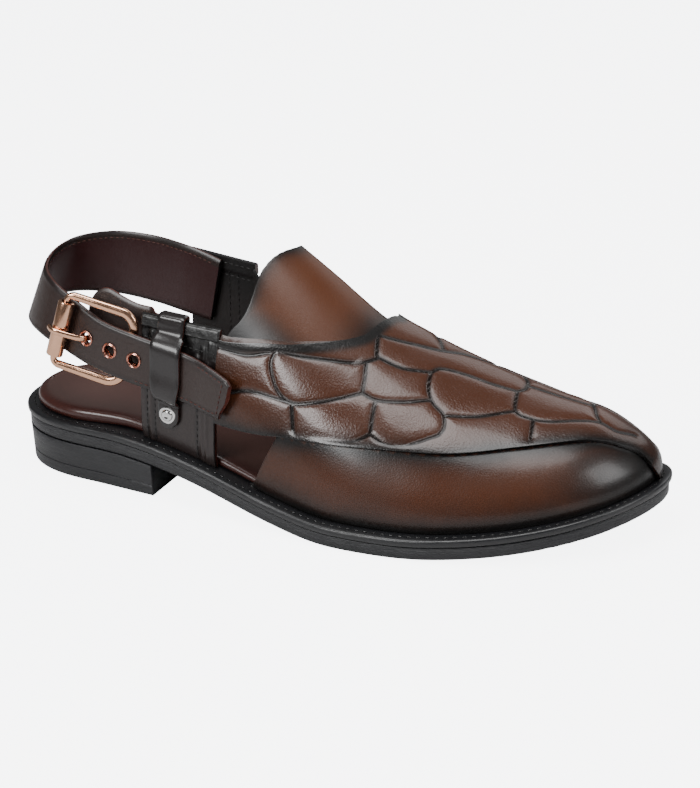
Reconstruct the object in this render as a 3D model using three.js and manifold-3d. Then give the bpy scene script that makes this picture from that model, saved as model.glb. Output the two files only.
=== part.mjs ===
import * as THREE from "three";
import { mergeVertices } from "three/addons/utils/BufferGeometryUtils.js";
import Module from "manifold-3d";

const wasm = await Module();
wasm.setup();

// A right shoe in millimetres: +X to the toe, +Y to the inner side of the foot, +Z up,
// with the origin in the middle of the heel's floor face.

// Driving sizes
const soleLength = 291;
const ballWidth = 104;
const instepHeight = 67;
const heelRise = 16.8;
const toeSpring = 15.5;
const outsoleThickness = 5.6;
const weltThickness = 3.4;
const seam = 0.3;
const heelBack = -38;
const heelLength = 77;
const heelTaper = 1.8;
const weltReach = 5.5;
const upperWall = 1.8;
const overlayThickness = 1.6;
const tongueThickness = 1.8;
const tongueGap = 0.5;
const insoleThickness = 3;
const heelPadThickness = 5.5;
const insoleHeelReach = 5;
const quarterThickness = 2.2;
const quarterRear = 32.5;
const quarterFront = 70;
const innerQuarterRear = 28;
const innerQuarterFront = 61;
const bandHeight = 5;
const bandStep = 1;
const strapThickness = 2.4;
const strapHeight = 27;
const eyeletBore = 2.5;
const eyeletFlange = 3.6;
const eyeletSpacing = 12;
const rivetRadius = 3;
const keeperWidth = 12.5;
const keeperThickness = 1.7;
const buckleLength = 35;
const buckleHeight = 36;
const buckleDepth = 3.2;
const buckleBar = 4.2;
const rollerBar = 2.8;
const rollerRadius = 3.6;
const rollerLength = 25;
const prongWidth = 3.2;
const prongThickness = 1.7;
const buckleSlack = 0.35;
const barSlack = 1.5;
const keeperX = 47.5;
const keeperFoot = 33;
const keeperInside = 9;
const keeperLean = 0.07;
const keeperGap = 0.45;
const tabRear = 5;
const tabFront = 43;
const tabHeight = 27;
const tabRound = 12;
const tabLift = 6;
const tabThickness = 1.8;
const outsoleRound = 1;
const weltRound = 0.7;
const heelRound = 0.8;
const insoleRound = 1.6;
const tuckHeight = 8;
const tuckIn = 1.2;
const innerFlare = 4;
const lateralTopHeight = 80.4;
const innerTopHeight = 92;
const eyeletWall = 0.6;
const eyeletLip = 0.5;
const eyeletSlack = 0.45;
const firstEyelet = 8;
const rollerX = -2;
const buckleEdge = 0.7;
const buckleCorner = 5.2;
const barCorner = 1.2;
const rivetDome = 1.5;

const soleThickness = outsoleThickness + seam + weltThickness;
const soleTip = heelBack + soleLength;

// Tables hold shares of the named sizes.
// Sole outline: along in sole lengths, centre and half in ball widths.
const outlineTable = [
  { along: 0, centre: 0, half: 0.319 },
  { along: 0.146, centre: -0.006, half: 0.322 },
  { along: 0.235, centre: -0.018, half: 0.331 },
  { along: 0.353, centre: -0.036, half: 0.346 },
  { along: 0.473, centre: -0.05, half: 0.393 },
  { along: 0.577, centre: -0.042, half: 0.45 },
  { along: 0.672, centre: -0.004, half: 0.478 },
  { along: 0.763, centre: 0.043, half: 0.481 },
  { along: 0.85, centre: 0.083, half: 0.481 },
  { along: 0.935, centre: 0.127, half: 0.481 },
  { along: 1, centre: 0.185, half: 0.481 },
];
const heelRoundEnd = 0.146;
const heelRoundPower = 2.3;
const toeRoundStart = 0.7;

// Last: ridge height in instep heights, ridge place in half widths to the inner side.
const lastTable = [
  { along: 0.18, height: 1.8, ridge: 0.6 },
  { along: 0.335, height: 1.59, ridge: 0.6 },
  { along: 0.418, height: 1.432, ridge: 0.6 },
  { along: 0.49, height: 1.265, ridge: 0.58 },
  { along: 0.579, height: 1, ridge: 0.54 },
  { along: 0.645, height: 0.87, ridge: 0.48 },
  { along: 0.731, height: 0.705, ridge: 0.42 },
  { along: 0.817, height: 0.567, ridge: 0.33 },
  { along: 0.892, height: 0.45, ridge: 0.25 },
  { along: 0.954, height: 0.32, ridge: 0.2 },
  { along: 1, height: 0.27, ridge: 0.2 },
];
const lateralFullness = 1.9;
const innerFullness = 2.1;
const heightFullness = 2.04;
const toeWallDepth = 32;
const toeWallPower = 3;
const toeWallRound = 2.4;

// Edges on the last: along in sole lengths, turn from 0 at the outer feather to 1 at the inner one.
const throatTable = [
  { along: 0.2, lateral: 0.19, inner: 0.78 },
  { along: 0.34, lateral: 0.19, inner: 0.782 },
  { along: 0.358, lateral: 0.19, inner: 0.81 },
  { along: 0.378, lateral: 0.193, inner: 0.838 },
  { along: 0.4, lateral: 0.205, inner: 0.838 },
  { along: 0.435, lateral: 0.23, inner: 0.82 },
  { along: 0.488, lateral: 0.274, inner: 0.776 },
  { along: 0.54, lateral: 0.345, inner: 0.69 },
  { along: 0.562, lateral: 0.39, inner: 0.632 },
  { along: 0.575, lateral: 0.43, inner: 0.585 },
  { along: 0.583, lateral: 0.485, inner: 0.53 },
];
const seamTable = [
  { along: 0.2, turn: 0.055 },
  { along: 0.375, turn: 0.066 },
  { along: 0.44, turn: 0.085 },
  { along: 0.498, turn: 0.112 },
  { along: 0.583, turn: 0.154 },
  { along: 0.67, turn: 0.189 },
  { along: 0.742, turn: 0.22 },
  { along: 0.806, turn: 0.263 },
  { along: 0.88, turn: 0.32 },
  { along: 0.935, turn: 0.37 },
  { along: 0.965, turn: 0.37 },
  { along: 0.982, turn: 0.3 },
  { along: 1, turn: 0.1 },
];
const innerEdgeTable = [
  { along: 0.2, turn: 1.1 },
  { along: 0.462, turn: 1.1 },
  { along: 0.478, turn: 0.93 },
  { along: 0.496, turn: 0.888 },
  { along: 0.528, turn: 0.807 },
  { along: 0.566, turn: 0.66 },
  { along: 0.584, turn: 0.5 },
];
const panelEdgeFoot = 0.437;
const panelEdgeTop = 0.489;
const tongueTable = [
  { turn: 0.16, along: 0.373 },
  { turn: 0.2, along: 0.384 },
  { turn: 0.24, along: 0.405 },
  { turn: 0.3, along: 0.413 },
  { turn: 0.385, along: 0.42 },
  { turn: 0.455, along: 0.432 },
  { turn: 0.53, along: 0.43 },
  { turn: 0.63, along: 0.417 },
  { turn: 0.69, along: 0.404 },
  { turn: 0.75, along: 0.391 },
  { turn: 0.84, along: 0.365 },
];
const tongueRoot = 0.64;

// Back strap, from its inner sewn end round the heel to the free end:
// along in sole lengths from the heel, across in ball widths, up in instep heights, tall in strap heights.
const strapTable = [
  { along: 0.275, across: 0.231, up: 1.12, tall: 1.1, lean: 0 },
  { along: 0.225, across: 0.238, up: 1.165, tall: 1.17, lean: 0 },
  { along: 0.16, across: 0.262, up: 1.19, tall: 1.17, lean: 0.02 },
  { along: 0.095, across: 0.243, up: 1.205, tall: 1.14, lean: 0.12 },
  { along: 0.044, across: 0.15, up: 1.205, tall: 1.08, lean: 0.28 },
  { along: 0.028, across: 0.01, up: 1.19, tall: 1.04, lean: 0.38 },
  { along: 0.041, across: -0.13, up: 1.155, tall: 0.95, lean: 0.36 },
  { along: 0.08, across: -0.232, up: 1.125, tall: 0.87, lean: 0.33 },
  { along: 0.125, across: -0.272, up: 1.06, tall: 0.82, lean: 0.24 },
  { along: 0.175, across: -0.298, up: 0.98, tall: 0.79, lean: 0.15 },
  { along: 0.235, across: -0.309, up: 0.925, tall: 0.79, lean: 0.12 },
  { along: 0.29, across: -0.309, up: 0.88, tall: 0.78, lean: 0.12 },
  { along: 0.335, across: -0.32, up: 0.845, tall: 0.76, lean: 0.12 },
  { along: 0.365, across: -0.345, up: 0.82, tall: 0.74, lean: 0.11 },
  { along: 0.403, across: -0.378, up: 0.785, tall: 0.66, lean: 0.1 },
];

const smooth = (t) => THREE.MathUtils.smoothstep(t, 0, 1);
const lerp = THREE.MathUtils.lerp;
const clamp = THREE.MathUtils.clamp;
const alongOf = (x) => (x - heelBack) / soleLength;
const xOf = (along) => heelBack + along * soleLength;

// A function that reads one column of a table smoothly along its key column.
function column(table, key, name) {
  const keys = table.map((row) => row[key]);
  const values = table.map((row) => row[name]);
  const curve = new THREE.CubicInterpolant(keys, values, 1);
  return (t) => curve.evaluate(clamp(t, keys[0], keys[keys.length - 1]))[0];
}

const outlineCentre = column(outlineTable, "along", "centre");
const outlineHalf = column(outlineTable, "along", "half");
const ridgeHeight = column(lastTable, "along", "height");
const ridgePlace = column(lastTable, "along", "ridge");
const throatLateral = column(throatTable, "along", "lateral");
const throatInner = column(throatTable, "along", "inner");
const seamTurn = column(seamTable, "along", "turn");
const innerEdgeTurn = column(innerEdgeTable, "along", "turn");
const tongueRear = column(tongueTable, "turn", "along");

// Closed solid from a box whose grid is moved by place(u, v, w), each from 0 to 1.
function mapped(uSteps, vSteps, wSteps, place) {
  const geometry = new THREE.BoxGeometry(1, 1, 1, uSteps, vSteps, wSteps);
  const position = geometry.attributes.position;
  const point = new THREE.Vector3();
  for (let i = 0; i < position.count; i++) {
    point.fromBufferAttribute(position, i).addScalar(0.5);
    const [x, y, z] = place(point.x, point.y, point.z);
    position.setXYZ(i, x, y, z);
  }
  return closed(geometry);
}

// Merges shared corners, drops faces that have collapsed and turns the faces outward.
function closed(source) {
  let geometry = source.index ? source : source.clone();
  geometry.deleteAttribute("normal");
  geometry.deleteAttribute("uv");
  geometry = mergeVertices(geometry, 1e-4);
  const index = geometry.index.array;
  const position = geometry.attributes.position;
  const kept = [];
  let volume = 0;
  const a = new THREE.Vector3();
  const b = new THREE.Vector3();
  const c = new THREE.Vector3();
  for (let i = 0; i < index.length; i += 3) {
    const [p, q, r] = [index[i], index[i + 1], index[i + 2]];
    if (p === q || q === r || p === r) continue;
    kept.push(p, q, r);
    a.fromBufferAttribute(position, p);
    b.fromBufferAttribute(position, q);
    c.fromBufferAttribute(position, r);
    volume += a.dot(b.cross(c));
  }
  if (volume < 0) {
    for (let i = 0; i < kept.length; i += 3) {
      [kept[i], kept[i + 1]] = [kept[i + 1], kept[i]];
    }
  }
  geometry.setIndex(kept);
  return geometry;
}

function toManifold(geometry) {
  const merged = closed(geometry);
  return new wasm.Manifold(new wasm.Mesh({
    numProp: 3,
    vertProperties: new Float32Array(merged.attributes.position.array),
    triVerts: new Uint32Array(merged.index.array),
  }));
}

function fromManifold(solid) {
  const mesh = solid.getMesh();
  const geometry = new THREE.BufferGeometry();
  geometry.setAttribute("position", new THREE.BufferAttribute(mesh.vertProperties, 3));
  geometry.setIndex(new THREE.BufferAttribute(mesh.triVerts, 1));
  return geometry;
}

function cut(geometry, ...cutters) {
  let solid = toManifold(geometry);
  for (const cutter of cutters) solid = solid.subtract(toManifold(cutter));
  return fromManifold(solid);
}

// Floor clearance of the sole: arch behind the ball, toe spring before it, flat between them.
const archStart = xOf(0.577);
const heelSeat = xOf(0.182);
const springStart = xOf(0.646);
const springPower = 1.9;

function rise(x) {
  const arch = smooth(clamp((archStart - x) / (archStart - heelSeat), 0, 1));
  const spring = clamp((x - springStart) / (soleTip - springStart), 0, 1.1) ** springPower;
  return heelRise * arch + toeSpring * spring;
}

const soleTop = (x) => rise(x) + soleThickness;

// Half width of the sole outline drawn in by inset, rounded at heel and toe.
function halfWidth(x, inset) {
  const heelEnd = xOf(heelRoundEnd);
  const toeStart = xOf(toeRoundStart);
  const heelT = clamp((heelEnd - x) / (heelEnd - heelBack - inset), 0, 1);
  const toeT = clamp((x - toeStart) / (soleTip - inset - toeStart), 0, 1);
  const heelShare = (1 - heelT ** heelRoundPower) ** (1 / heelRoundPower);
  const toeShare = Math.sqrt(1 - toeT * toeT);
  return (outlineHalf(alongOf(x)) * ballWidth - inset) * heelShare * toeShare;
}

const centreLine = (x) => outlineCentre(alongOf(x)) * ballWidth;

// A layer of the sole: levels are { inset, up } from its lower face to its upper one.
function soleLayer(levels, from, to, steps) {
  const levelSteps = levels.length - 1;
  return mapped(steps, 2, levelSteps, (u, v, w) => {
    const level = levels[Math.round(w * levelSteps)];
    const inset = typeof level.inset === "function" ? level.inset(u) : level.inset;
    const start = from === undefined ? heelBack + inset : from;
    const end = to === undefined ? soleTip - inset : to;
    const ease = to === undefined ? (1 - Math.cos(Math.PI * u)) / 2 : 1 - Math.cos(Math.PI * u / 2);
    const x = lerp(start, end, ease);
    const y = centreLine(x) + (2 * v - 1) * halfWidth(x, inset);
    return [x, y, level.up(x)];
  });
}

function outsole() {
  return soleLayer([
    { inset: 2 * outsoleRound, up: (x) => rise(x) },
    { inset: outsoleRound, up: (x) => rise(x) + outsoleRound },
    { inset: outsoleRound, up: (x) => rise(x) + outsoleThickness },
  ], undefined, undefined, 36);
}

function welt() {
  const lower = outsoleThickness + seam;
  return soleLayer([
    { inset: outsoleRound, up: (x) => rise(x) + lower },
    { inset: 0, up: (x) => rise(x) + lower + weltRound },
    { inset: 0, up: (x) => rise(x) + lower + weltThickness - weltRound },
    { inset: weltRound, up: (x) => rise(x) + lower + weltThickness },
  ], undefined, undefined, 36);
}

function heel() {
  return soleLayer([
    { inset: heelTaper + heelRound, up: () => 0 },
    { inset: heelTaper, up: () => heelRound },
    { inset: outsoleRound, up: (x) => rise(x) - seam },
  ], undefined, heelBack + heelLength, 16);
}

function insole() {
  const hidden = weltReach + quarterThickness + tuckIn + seam;
  const reach = (u) => lerp(insoleHeelReach, hidden, smooth(clamp((u - 0.2) / 0.1, 0, 1)));
  const thick = (x) => lerp(heelPadThickness, insoleThickness, smooth(clamp(alongOf(x) / 0.55, 0, 1)));
  const level = (share, roundShare) => ({
    inset: (u) => reach(u) + roundShare * insoleRound,
    up: (x) => soleTop(x) + seam + share * thick(x),
  });
  return soleLayer([
    level(0, 0.4), level(0.45, 0), level(0.8, 0.3), level(1, 1),
  ], undefined, undefined, 30);
}

// Point on the last, moved outward by out: turn 0 is the outer feather edge, 1 the inner one.
function lastPoint(x, turn, out) {
  const inset = weltReach - out;
  const tip = soleTip - inset;
  const half = halfWidth(Math.min(x, tip), inset);
  const ridge = ridgePlace(alongOf(x)) * half;
  const angle = Math.PI * turn;
  const sideways = Math.abs(Math.cos(angle));
  const fullness = turn < 0.5 ? lateralFullness : innerFullness;
  const side = turn < 0.5 ? -half : half;
  const wallShare = clamp((x - (tip - toeWallDepth)) / toeWallDepth, 0, 1);
  const toeWall = (1 - wallShare ** toeWallPower) ** (1 / toeWallRound);
  const top = (ridgeHeight(alongOf(x)) * instepHeight + out) * toeWall;
  const lift = top * Math.abs(Math.sin(angle)) ** (2 / heightFullness);
  const tuck = tuckIn * clamp(1 - lift / tuckHeight, 0, 1) ** 2 * Math.min(1, half / tuckHeight);
  const across = lerp(ridge, side, sideways ** (2 / fullness));
  const y = centreLine(x) + across - Math.sign(across) * tuck;
  return [x, y, soleTop(x) + seam + lift];
}

// Rows of the upper's grid, closer together toward the toe; every layer of the upper shares them.
const upperRear = innerQuarterFront + seam;
const rowPower = 1.75;
const upperRows = 26;
const upperColumns = 20;

function rowX(u, out) {
  const tip = soleTip - weltReach + out;
  return tip - (tip - upperRear) * (1 - u) ** rowPower;
}

function shell(lowOut, highOut) {
  return mapped(upperRows, upperColumns, 1, (u, v, w) => {
    const out = lerp(lowOut, highOut, w);
    return lastPoint(rowX(u, out), v, out);
  });
}

// A cutter that follows the last between two edges given as turns at each place along.
function lastCutter(fromX, toX, lowTurn, highTurn, steps) {
  const reachOut = 5;
  return mapped(steps, 8, 1, (u, v, w) => {
    const x = lerp(fromX, toX, u);
    const low = lowTurn(alongOf(x));
    const high = highTurn(alongOf(x));
    const turn = lerp(low, high, v);
    const out = lerp(-reachOut, reachOut, w);
    const past = turn < 0 ? -turn : Math.max(0, turn - 1);
    const [px, py, pz] = lastPoint(x, clamp(turn, 0, 1), out);
    return [px, py, pz - past * 60];
  });
}

function throatCutter(grow) {
  const last = throatTable[throatTable.length - 1].along;
  return lastCutter(upperRear - 8, xOf(last) + grow * 3, (a) => throatLateral(a) - grow * 0.01,
    (a) => throatInner(a) + grow * 0.01, 24);
}

// Clears the outer side behind the quarter seam.
function rearCutter() {
  return lastCutter(upperRear - 8, quarterFront + seam, () => -0.1, () => 0.45, 4);
}

function windowCutter() {
  const hide = 0.02;
  const foot = xOf(panelEdgeFoot);
  const top = xOf(panelEdgeTop);
  const low = (a) => (a <= panelEdgeFoot ? -0.1 : ((a - panelEdgeFoot) / (panelEdgeTop - panelEdgeFoot)) * 0.1);
  const behind = lastCutter(quarterFront - 2, foot, () => -0.1, (a) => seamTurn(a) + hide, 4);
  const slanted = lastCutter(foot - 0.05, top, low, (a) => Math.max(seamTurn(a), low(a) + 0.004) + hide * 0.5, 4);
  return [behind, slanted];
}

function upper() {
  return cut(shell(-upperWall, 0), throatCutter(0), rearCutter(), ...windowCutter());
}

function overlay() {
  const below = lastCutter(quarterFront - 2, soleTip - weltReach - 0.02, () => -0.15, seamTurn, 36);
  const innerSide = lastCutter(upperRear - 8, xOf(innerEdgeTable[innerEdgeTable.length - 1].along),
    () => 0.45, innerEdgeTurn, 24);
  return cut(shell(seam, seam + overlayThickness), throatCutter(1), rearCutter(), below, innerSide);
}

function tongue() {
  const under = -upperWall - tongueGap;
  const lowTurn = tongueTable[0].turn;
  const highTurn = tongueTable[tongueTable.length - 1].turn;
  return mapped(8, 16, 1, (u, v, w) => {
    const turn = lerp(lowTurn, highTurn, v);
    const x = lerp(xOf(tongueRear(turn)), xOf(tongueRoot), u);
    return lastPoint(x, turn, under - (1 - w) * tongueThickness);
  });
}

// Point on a quarter at a height above the sole; the inner quarter stands a little outward.
function quarterPoint(x, height, side, out) {
  const top = ridgeHeight(alongOf(x)) * instepHeight;
  const angle = Math.asin(clamp(height / top, 0, 0.98) ** (heightFullness / 2));
  const turn = side < 0 ? angle / Math.PI : 1 - angle / Math.PI;
  const flare = side > 0 ? innerFlare * (height / instepHeight) : 0;
  return [x, lastPoint(x, turn, out)[1] + flare, soleTop(x) + Math.max(height, seam)];
}

function quarter(side, rear, front, topAt) {
  const rows = 9;
  return mapped(8, rows, 1, (u, v, w) => {
    const x = lerp(rear, front, u);
    const top = topAt(x) - soleTop(x);
    const steps = [0, 0.14, 0.3, 0.46, 0.62, 0.76, 0.88];
    const bandFoot = top - bandHeight;
    const heights = [...steps.map((s) => s * bandFoot), bandFoot - 0.3, bandFoot, top];
    const level = Math.round(v * rows);
    const band = level >= rows - 1 ? bandStep : 0;
    const out = lerp(-quarterThickness, band, w);
    return quarterPoint(x, heights[level], side, out);
  });
}

const lateralTop = (x) => lateralTopHeight - 0.055 * (x - quarterRear);
const innerTop = (x) => innerTopHeight - 0.09 * (x - innerQuarterRear);

// Strap path, with its outward direction and the direction across the strap at each place.
const strapRows = strapTable.map((row) => new THREE.Vector3(
  xOf(row.along), row.across * ballWidth, row.up * instepHeight));
const strapCurve = new THREE.CatmullRomCurve3(strapRows, false, "centripetal");
const strapByPlace = strapTable.map((row, i) => ({ at: i / (strapTable.length - 1), ...row }));
const strapTall = column(strapByPlace, "at", "tall");
const strapLean = column(strapByPlace, "at", "lean");

function strapFrame(t) {
  const centre = strapCurve.getPoint(t);
  const ahead = strapCurve.getTangent(t);
  const outward = new THREE.Vector3(ahead.y, -ahead.x, 0).normalize();
  const upward = new THREE.Vector3().crossVectors(outward, ahead);
  upward.addScaledVector(outward, -strapLean(t)).normalize();
  return { centre, outward, upward };
}

function strapBody() {
  const steps = 48;
  const tipRound = 0.02;
  return mapped(steps, 2, 1, (u, v, w) => {
    const frame = strapFrame(u);
    const half = strapTall(u) * strapHeight / 2;
    const end = 1 - 0.12 * smooth(clamp((u - 1 + tipRound) / tipRound, 0, 1));
    const out = (w - 0.5) * strapThickness;
    const point = frame.centre.clone()
      .addScaledVector(frame.upward, (2 * v - 1) * half * end)
      .addScaledVector(frame.outward, out);
    return point.toArray();
  });
}

// Strap parameter at a place along X on the outer side of the shoe.
function strapAt(x) {
  let low = 0.5;
  let high = 1;
  for (let i = 0; i < 40; i++) {
    const middle = (low + high) / 2;
    if (strapCurve.getPoint(middle).x < x) low = middle;
    else high = middle;
  }
  return (low + high) / 2;
}

// Stands a solid that was made along +Z on the strap's outer face at t.
function onStrap(geometry, t) {
  const frame = strapFrame(t);
  geometry.applyQuaternion(new THREE.Quaternion().setFromUnitVectors(new THREE.Vector3(0, 0, 1), frame.outward));
  geometry.translate(frame.centre.x, frame.centre.y, frame.centre.z);
  return geometry;
}

const eyeletPlaces = [0, 1, 2].map((i) => strapAt(firstEyelet + i * eyeletSpacing));

function eyelet(t) {
  const half = strapThickness / 2 + eyeletSlack;
  const barrel = eyeletBore + eyeletWall;
  const top = half + eyeletLip;
  const shoulder = half + 0.4 * eyeletLip;
  const profile = [
    [eyeletBore, -top], [eyeletFlange, -shoulder], [eyeletFlange, -half], [barrel, -half],
    [barrel, half], [eyeletFlange, half], [eyeletFlange, shoulder], [eyeletBore, top], [eyeletBore, -top],
  ].map(([r, z]) => new THREE.Vector2(r, z));
  return onStrap(new THREE.LatheGeometry(profile, 14).rotateX(Math.PI / 2), t);
}

function backStrap() {
  const radius = eyeletBore + eyeletWall + 2 * seam;
  const hole = () => new THREE.CylinderGeometry(radius, radius, 5 * strapThickness, 14).rotateX(Math.PI / 2);
  return cut(strapBody(), ...eyeletPlaces.map((t) => onStrap(hole(), t)));
}

// Buckle frame: its plane leans with the strap, outside it at the roller and inside it at the far bar.
const prongBarX = rollerX + buckleLength - (buckleBar + rollerBar) / 2;
const rollerAt = strapFrame(strapAt(rollerX));
const barAt = strapFrame(strapAt(prongBarX));
const outsideStrap = strapThickness / 2 + seam;
const rollerCentre = rollerAt.centre.clone()
  .addScaledVector(rollerAt.outward, outsideStrap + rollerRadius + buckleSlack);
const barCentre = barAt.centre.clone()
  .addScaledVector(barAt.outward, -(outsideStrap + buckleDepth / 2 + barSlack));
const buckleAlong = barCentre.clone().sub(rollerCentre).normalize();
const buckleOut = new THREE.Vector3(0, -1, 0).addScaledVector(buckleAlong, buckleAlong.y);
buckleOut.z += 0.16;
buckleOut.addScaledVector(buckleAlong, -buckleOut.dot(buckleAlong)).normalize();
const buckleUp = new THREE.Vector3().crossVectors(buckleOut, buckleAlong).normalize();
const buckleFrame = new THREE.Matrix4().makeBasis(buckleAlong, buckleUp, buckleOut).setPosition(rollerCentre);

// Rounded rectangle as a shape or a hole.
function roundedRect(target, left, right, bottom, top, radius) {
  target.moveTo(left + radius, bottom);
  target.lineTo(right - radius, bottom);
  target.absarc(right - radius, bottom + radius, radius, -Math.PI / 2, 0, false);
  target.lineTo(right, top - radius);
  target.absarc(right - radius, top - radius, radius, 0, Math.PI / 2, false);
  target.lineTo(left + radius, top);
  target.absarc(left + radius, top - radius, radius, Math.PI / 2, Math.PI, false);
  target.lineTo(left, bottom + radius);
  target.absarc(left + radius, bottom + radius, radius, Math.PI, Math.PI * 1.5, false);
  return target;
}

function buckle() {
  const edge = buckleEdge;
  const half = buckleHeight / 2;
  const left = -rollerBar / 2;
  const outer = roundedRect(new THREE.Shape(), left + edge, left + buckleLength - edge, -half + edge, half - edge,
    buckleCorner - edge);
  const inner = roundedRect(new THREE.Path(), left + rollerBar - edge, left + buckleLength - buckleBar + edge,
    -half + buckleBar - edge, half - buckleBar + edge, barCorner + edge);
  outer.holes.push(inner);
  const geometry = new THREE.ExtrudeGeometry(outer, {
    depth: buckleDepth - 2 * edge, bevelThickness: edge, bevelSize: edge, bevelSegments: 1, curveSegments: 4,
  });
  geometry.translate(0, 0, -buckleDepth / 2 + edge);
  return geometry.applyMatrix4(buckleFrame);
}

function roller() {
  const bore = Math.hypot(rollerBar, buckleDepth) / 2 + 0.1;
  const half = rollerLength / 2;
  const round = 0.5;
  const profile = [
    [bore, -half], [rollerRadius - round, -half], [rollerRadius, -half + round],
    [rollerRadius, half - round], [rollerRadius - round, half], [bore, half], [bore, -half],
  ].map(([r, y]) => new THREE.Vector2(r, y));
  return new THREE.LatheGeometry(profile, 20).applyMatrix4(buckleFrame);
}

// Prong: under the strap from the far bar, out through the first eyelet and over the roller.
function prong() {
  const inFrame = buckleFrame.clone().invert();
  const hole = strapFrame(eyeletPlaces[0]).centre.clone().applyMatrix4(inFrame);
  const bar = barCentre.clone().applyMatrix4(inFrame);
  const half = prongThickness / 2 + seam;
  const below = hole.z - strapThickness / 2 - half - eyeletSlack - eyeletLip;
  const root = Math.min(bar.z - buckleDepth / 2 - half, below);
  const over = rollerRadius + half;
  const line = new THREE.SplineCurve([
    [bar.x + 1, root], [bar.x - 4, root], [hole.x + 5, below], [hole.x + 1.4, below + 0.5],
    [hole.x + 0.3, hole.z], [hole.x - 0.9, hole.z + 2.6], [hole.x - 3, hole.z + 4.2],
    [1.6, over], [-0.8, over], [-3, over - 1], [-4.6, over - 3],
  ].map(([x, z]) => new THREE.Vector2(x, z)));
  const geometry = mapped(24, 1, 1, (u, v, w) => {
    const point = line.getPoint(u);
    const ahead = line.getTangent(u);
    const wide = prongWidth * lerp(1, 0.72, u);
    const sideways = hole.y * smooth(clamp(1 - Math.abs(point.x - hole.x) / buckleLength, 0, 1));
    const out = (w - 0.5) * prongThickness;
    return [point.x + ahead.y * out, sideways + (v - 0.5) * wide, point.y - ahead.x * out];
  });
  return geometry.applyMatrix4(buckleFrame);
}

// Side place of the outer quarter's surface at a height above the floor; out 0 is its outer face.
const lateralFace = (x, z, out) => quarterPoint(x, z - soleTop(x), -1, out)[1];

// Flap behind the buckle: sewn inside the outer quarter, then standing clear of the far bar and the prong.
function backingTab() {
  const span = tabFront - tabRear;
  const lengthOfBend = 6;
  const clearY = barCentre.y + buckleDepth / 2 + prongThickness + barSlack + 5 * seam;
  const standOff = clearY - lateralFace(quarterRear, barCentre.z, -quarterThickness);
  return mapped(14, 2, 1, (u, v, w) => {
    const x = lerp(tabRear, tabFront, u);
    const round = Math.sqrt(1 - (1 - clamp(u * span / tabRound, 0, 1)) ** 2);
    const middle = lateralTop(x) - tabHeight / 2 + tabLift * smooth(clamp(1 - u / 0.65, 0, 1));
    const z = middle + (2 * v - 1) * (tabHeight / 2) * round;
    const free = smooth(clamp((quarterRear + lengthOfBend - x) / lengthOfBend, 0, 1));
    const face = lateralFace(Math.max(x, quarterRear), z, -quarterThickness);
    return [x, face + lerp(seam, standOff, free) + w * tabThickness, z];
  });
}

// Keeper: riveted to the quarter, up over the strap, over the band and down inside it.
// One line of [y, z] for each place x across its width.
function keeperLine(x) {
  const t = strapAt(x);
  const frame = strapFrame(t);
  const half = strapTall(t) * strapHeight / 2 * frame.upward.z;
  const slope = frame.upward.y / frame.upward.z;
  const off = keeperGap + keeperThickness / 2;
  const strapFace = (z) => frame.centre.y + slope * (z - frame.centre.z) - strapThickness / 2;
  const low = frame.centre.z - half;
  const high = frame.centre.z + half;
  const top = lateralTop(x);
  const onQuarter = [0, 0.5, 1.6, 3.4, 6, 9].map((d) => keeperFoot + d);
  return [
    ...onQuarter.map((z) => [lateralFace(x, z, 0) - off, z]),
    [lateralFace(x, low - 4, 0) - off, low - 4],
    ...[low - 1, frame.centre.z, high + 0.6].map((z) => [strapFace(z) - off, z]),
    ...[top - bandHeight, top - 0.5].map((z) => [lateralFace(x, z, bandStep) - off, z]),
    [lateralFace(x, top, bandStep) - off / 2, top + off],
    [lateralFace(x, top, -quarterThickness) + off, top + off],
    ...[top - 1, top - keeperInside].map((z) => [lateralFace(x, z, -quarterThickness) + off, z]),
  ].map(([y, z]) => new THREE.Vector2(y, z));
}

function keeper() {
  const round = keeperWidth / 2;
  const middle = keeperLine(keeperX);
  const steps = middle.length - 1;
  return mapped(steps, 2, 1, (u, v, w) => {
    const i = Math.round(u * steps);
    const up = clamp((middle[i].y - keeperFoot) / round, 0.12, 1);
    const half = round * (i < steps / 2 ? Math.sqrt(1 - (1 - up) ** 2) : 1);
    const x = keeperX + keeperLean * (middle[i].y - keeperFoot - round) + (2 * v - 1) * half;
    const line = keeperLine(x);
    const ahead = line[Math.min(i + 1, steps)].clone().sub(line[Math.max(i - 1, 0)]).normalize();
    const out = (w - 0.5) * keeperThickness;
    return [x, line[i].x - ahead.y * out, line[i].y + ahead.x * out];
  });
}

function rivet() {
  const z = keeperFoot + keeperWidth / 2;
  const profile = [
    [0, 0], [rivetRadius, 0], [rivetRadius, 0.25 * rivetDome], [rivetRadius * 0.82, rivetDome * 0.62],
    [rivetRadius * 0.45, rivetDome * 0.92], [0, rivetDome],
  ].map(([r, y]) => new THREE.Vector2(r, y));
  const face = lateralFace(keeperX, z, 0) - keeperGap - keeperThickness - 2 * seam;
  return new THREE.LatheGeometry(profile, 18).rotateX(Math.PI).translate(keeperX, face, z);
}

const leather = (color, roughness) => new THREE.MeshStandardMaterial({ color, roughness, metalness: 0 });
const metal = (color, roughness) => new THREE.MeshStandardMaterial({ color, roughness, metalness: 1 });
const brown = leather(0x54321f, 0.35);
const darkBrown = leather(0x3a2c2a, 0.5);
const black = new THREE.MeshStandardMaterial({ color: 0x17181c, roughness: 0.55, metalness: 0 });
const footbed = leather(0x4a2f2a, 0.3);
const copper = metal(0xb8735c, 0.3);
const gold = metal(0xd9a066, 0.2);
const tan = leather(0x6b4630, 0.85);
const steel = metal(0xc8ccd0, 0.2);

const shoe = new THREE.Group();

function add(name, geometry, material) {
  const mesh = new THREE.Mesh(geometry, material.clone());
  mesh.name = name;
  shoe.add(mesh);
}

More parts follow.
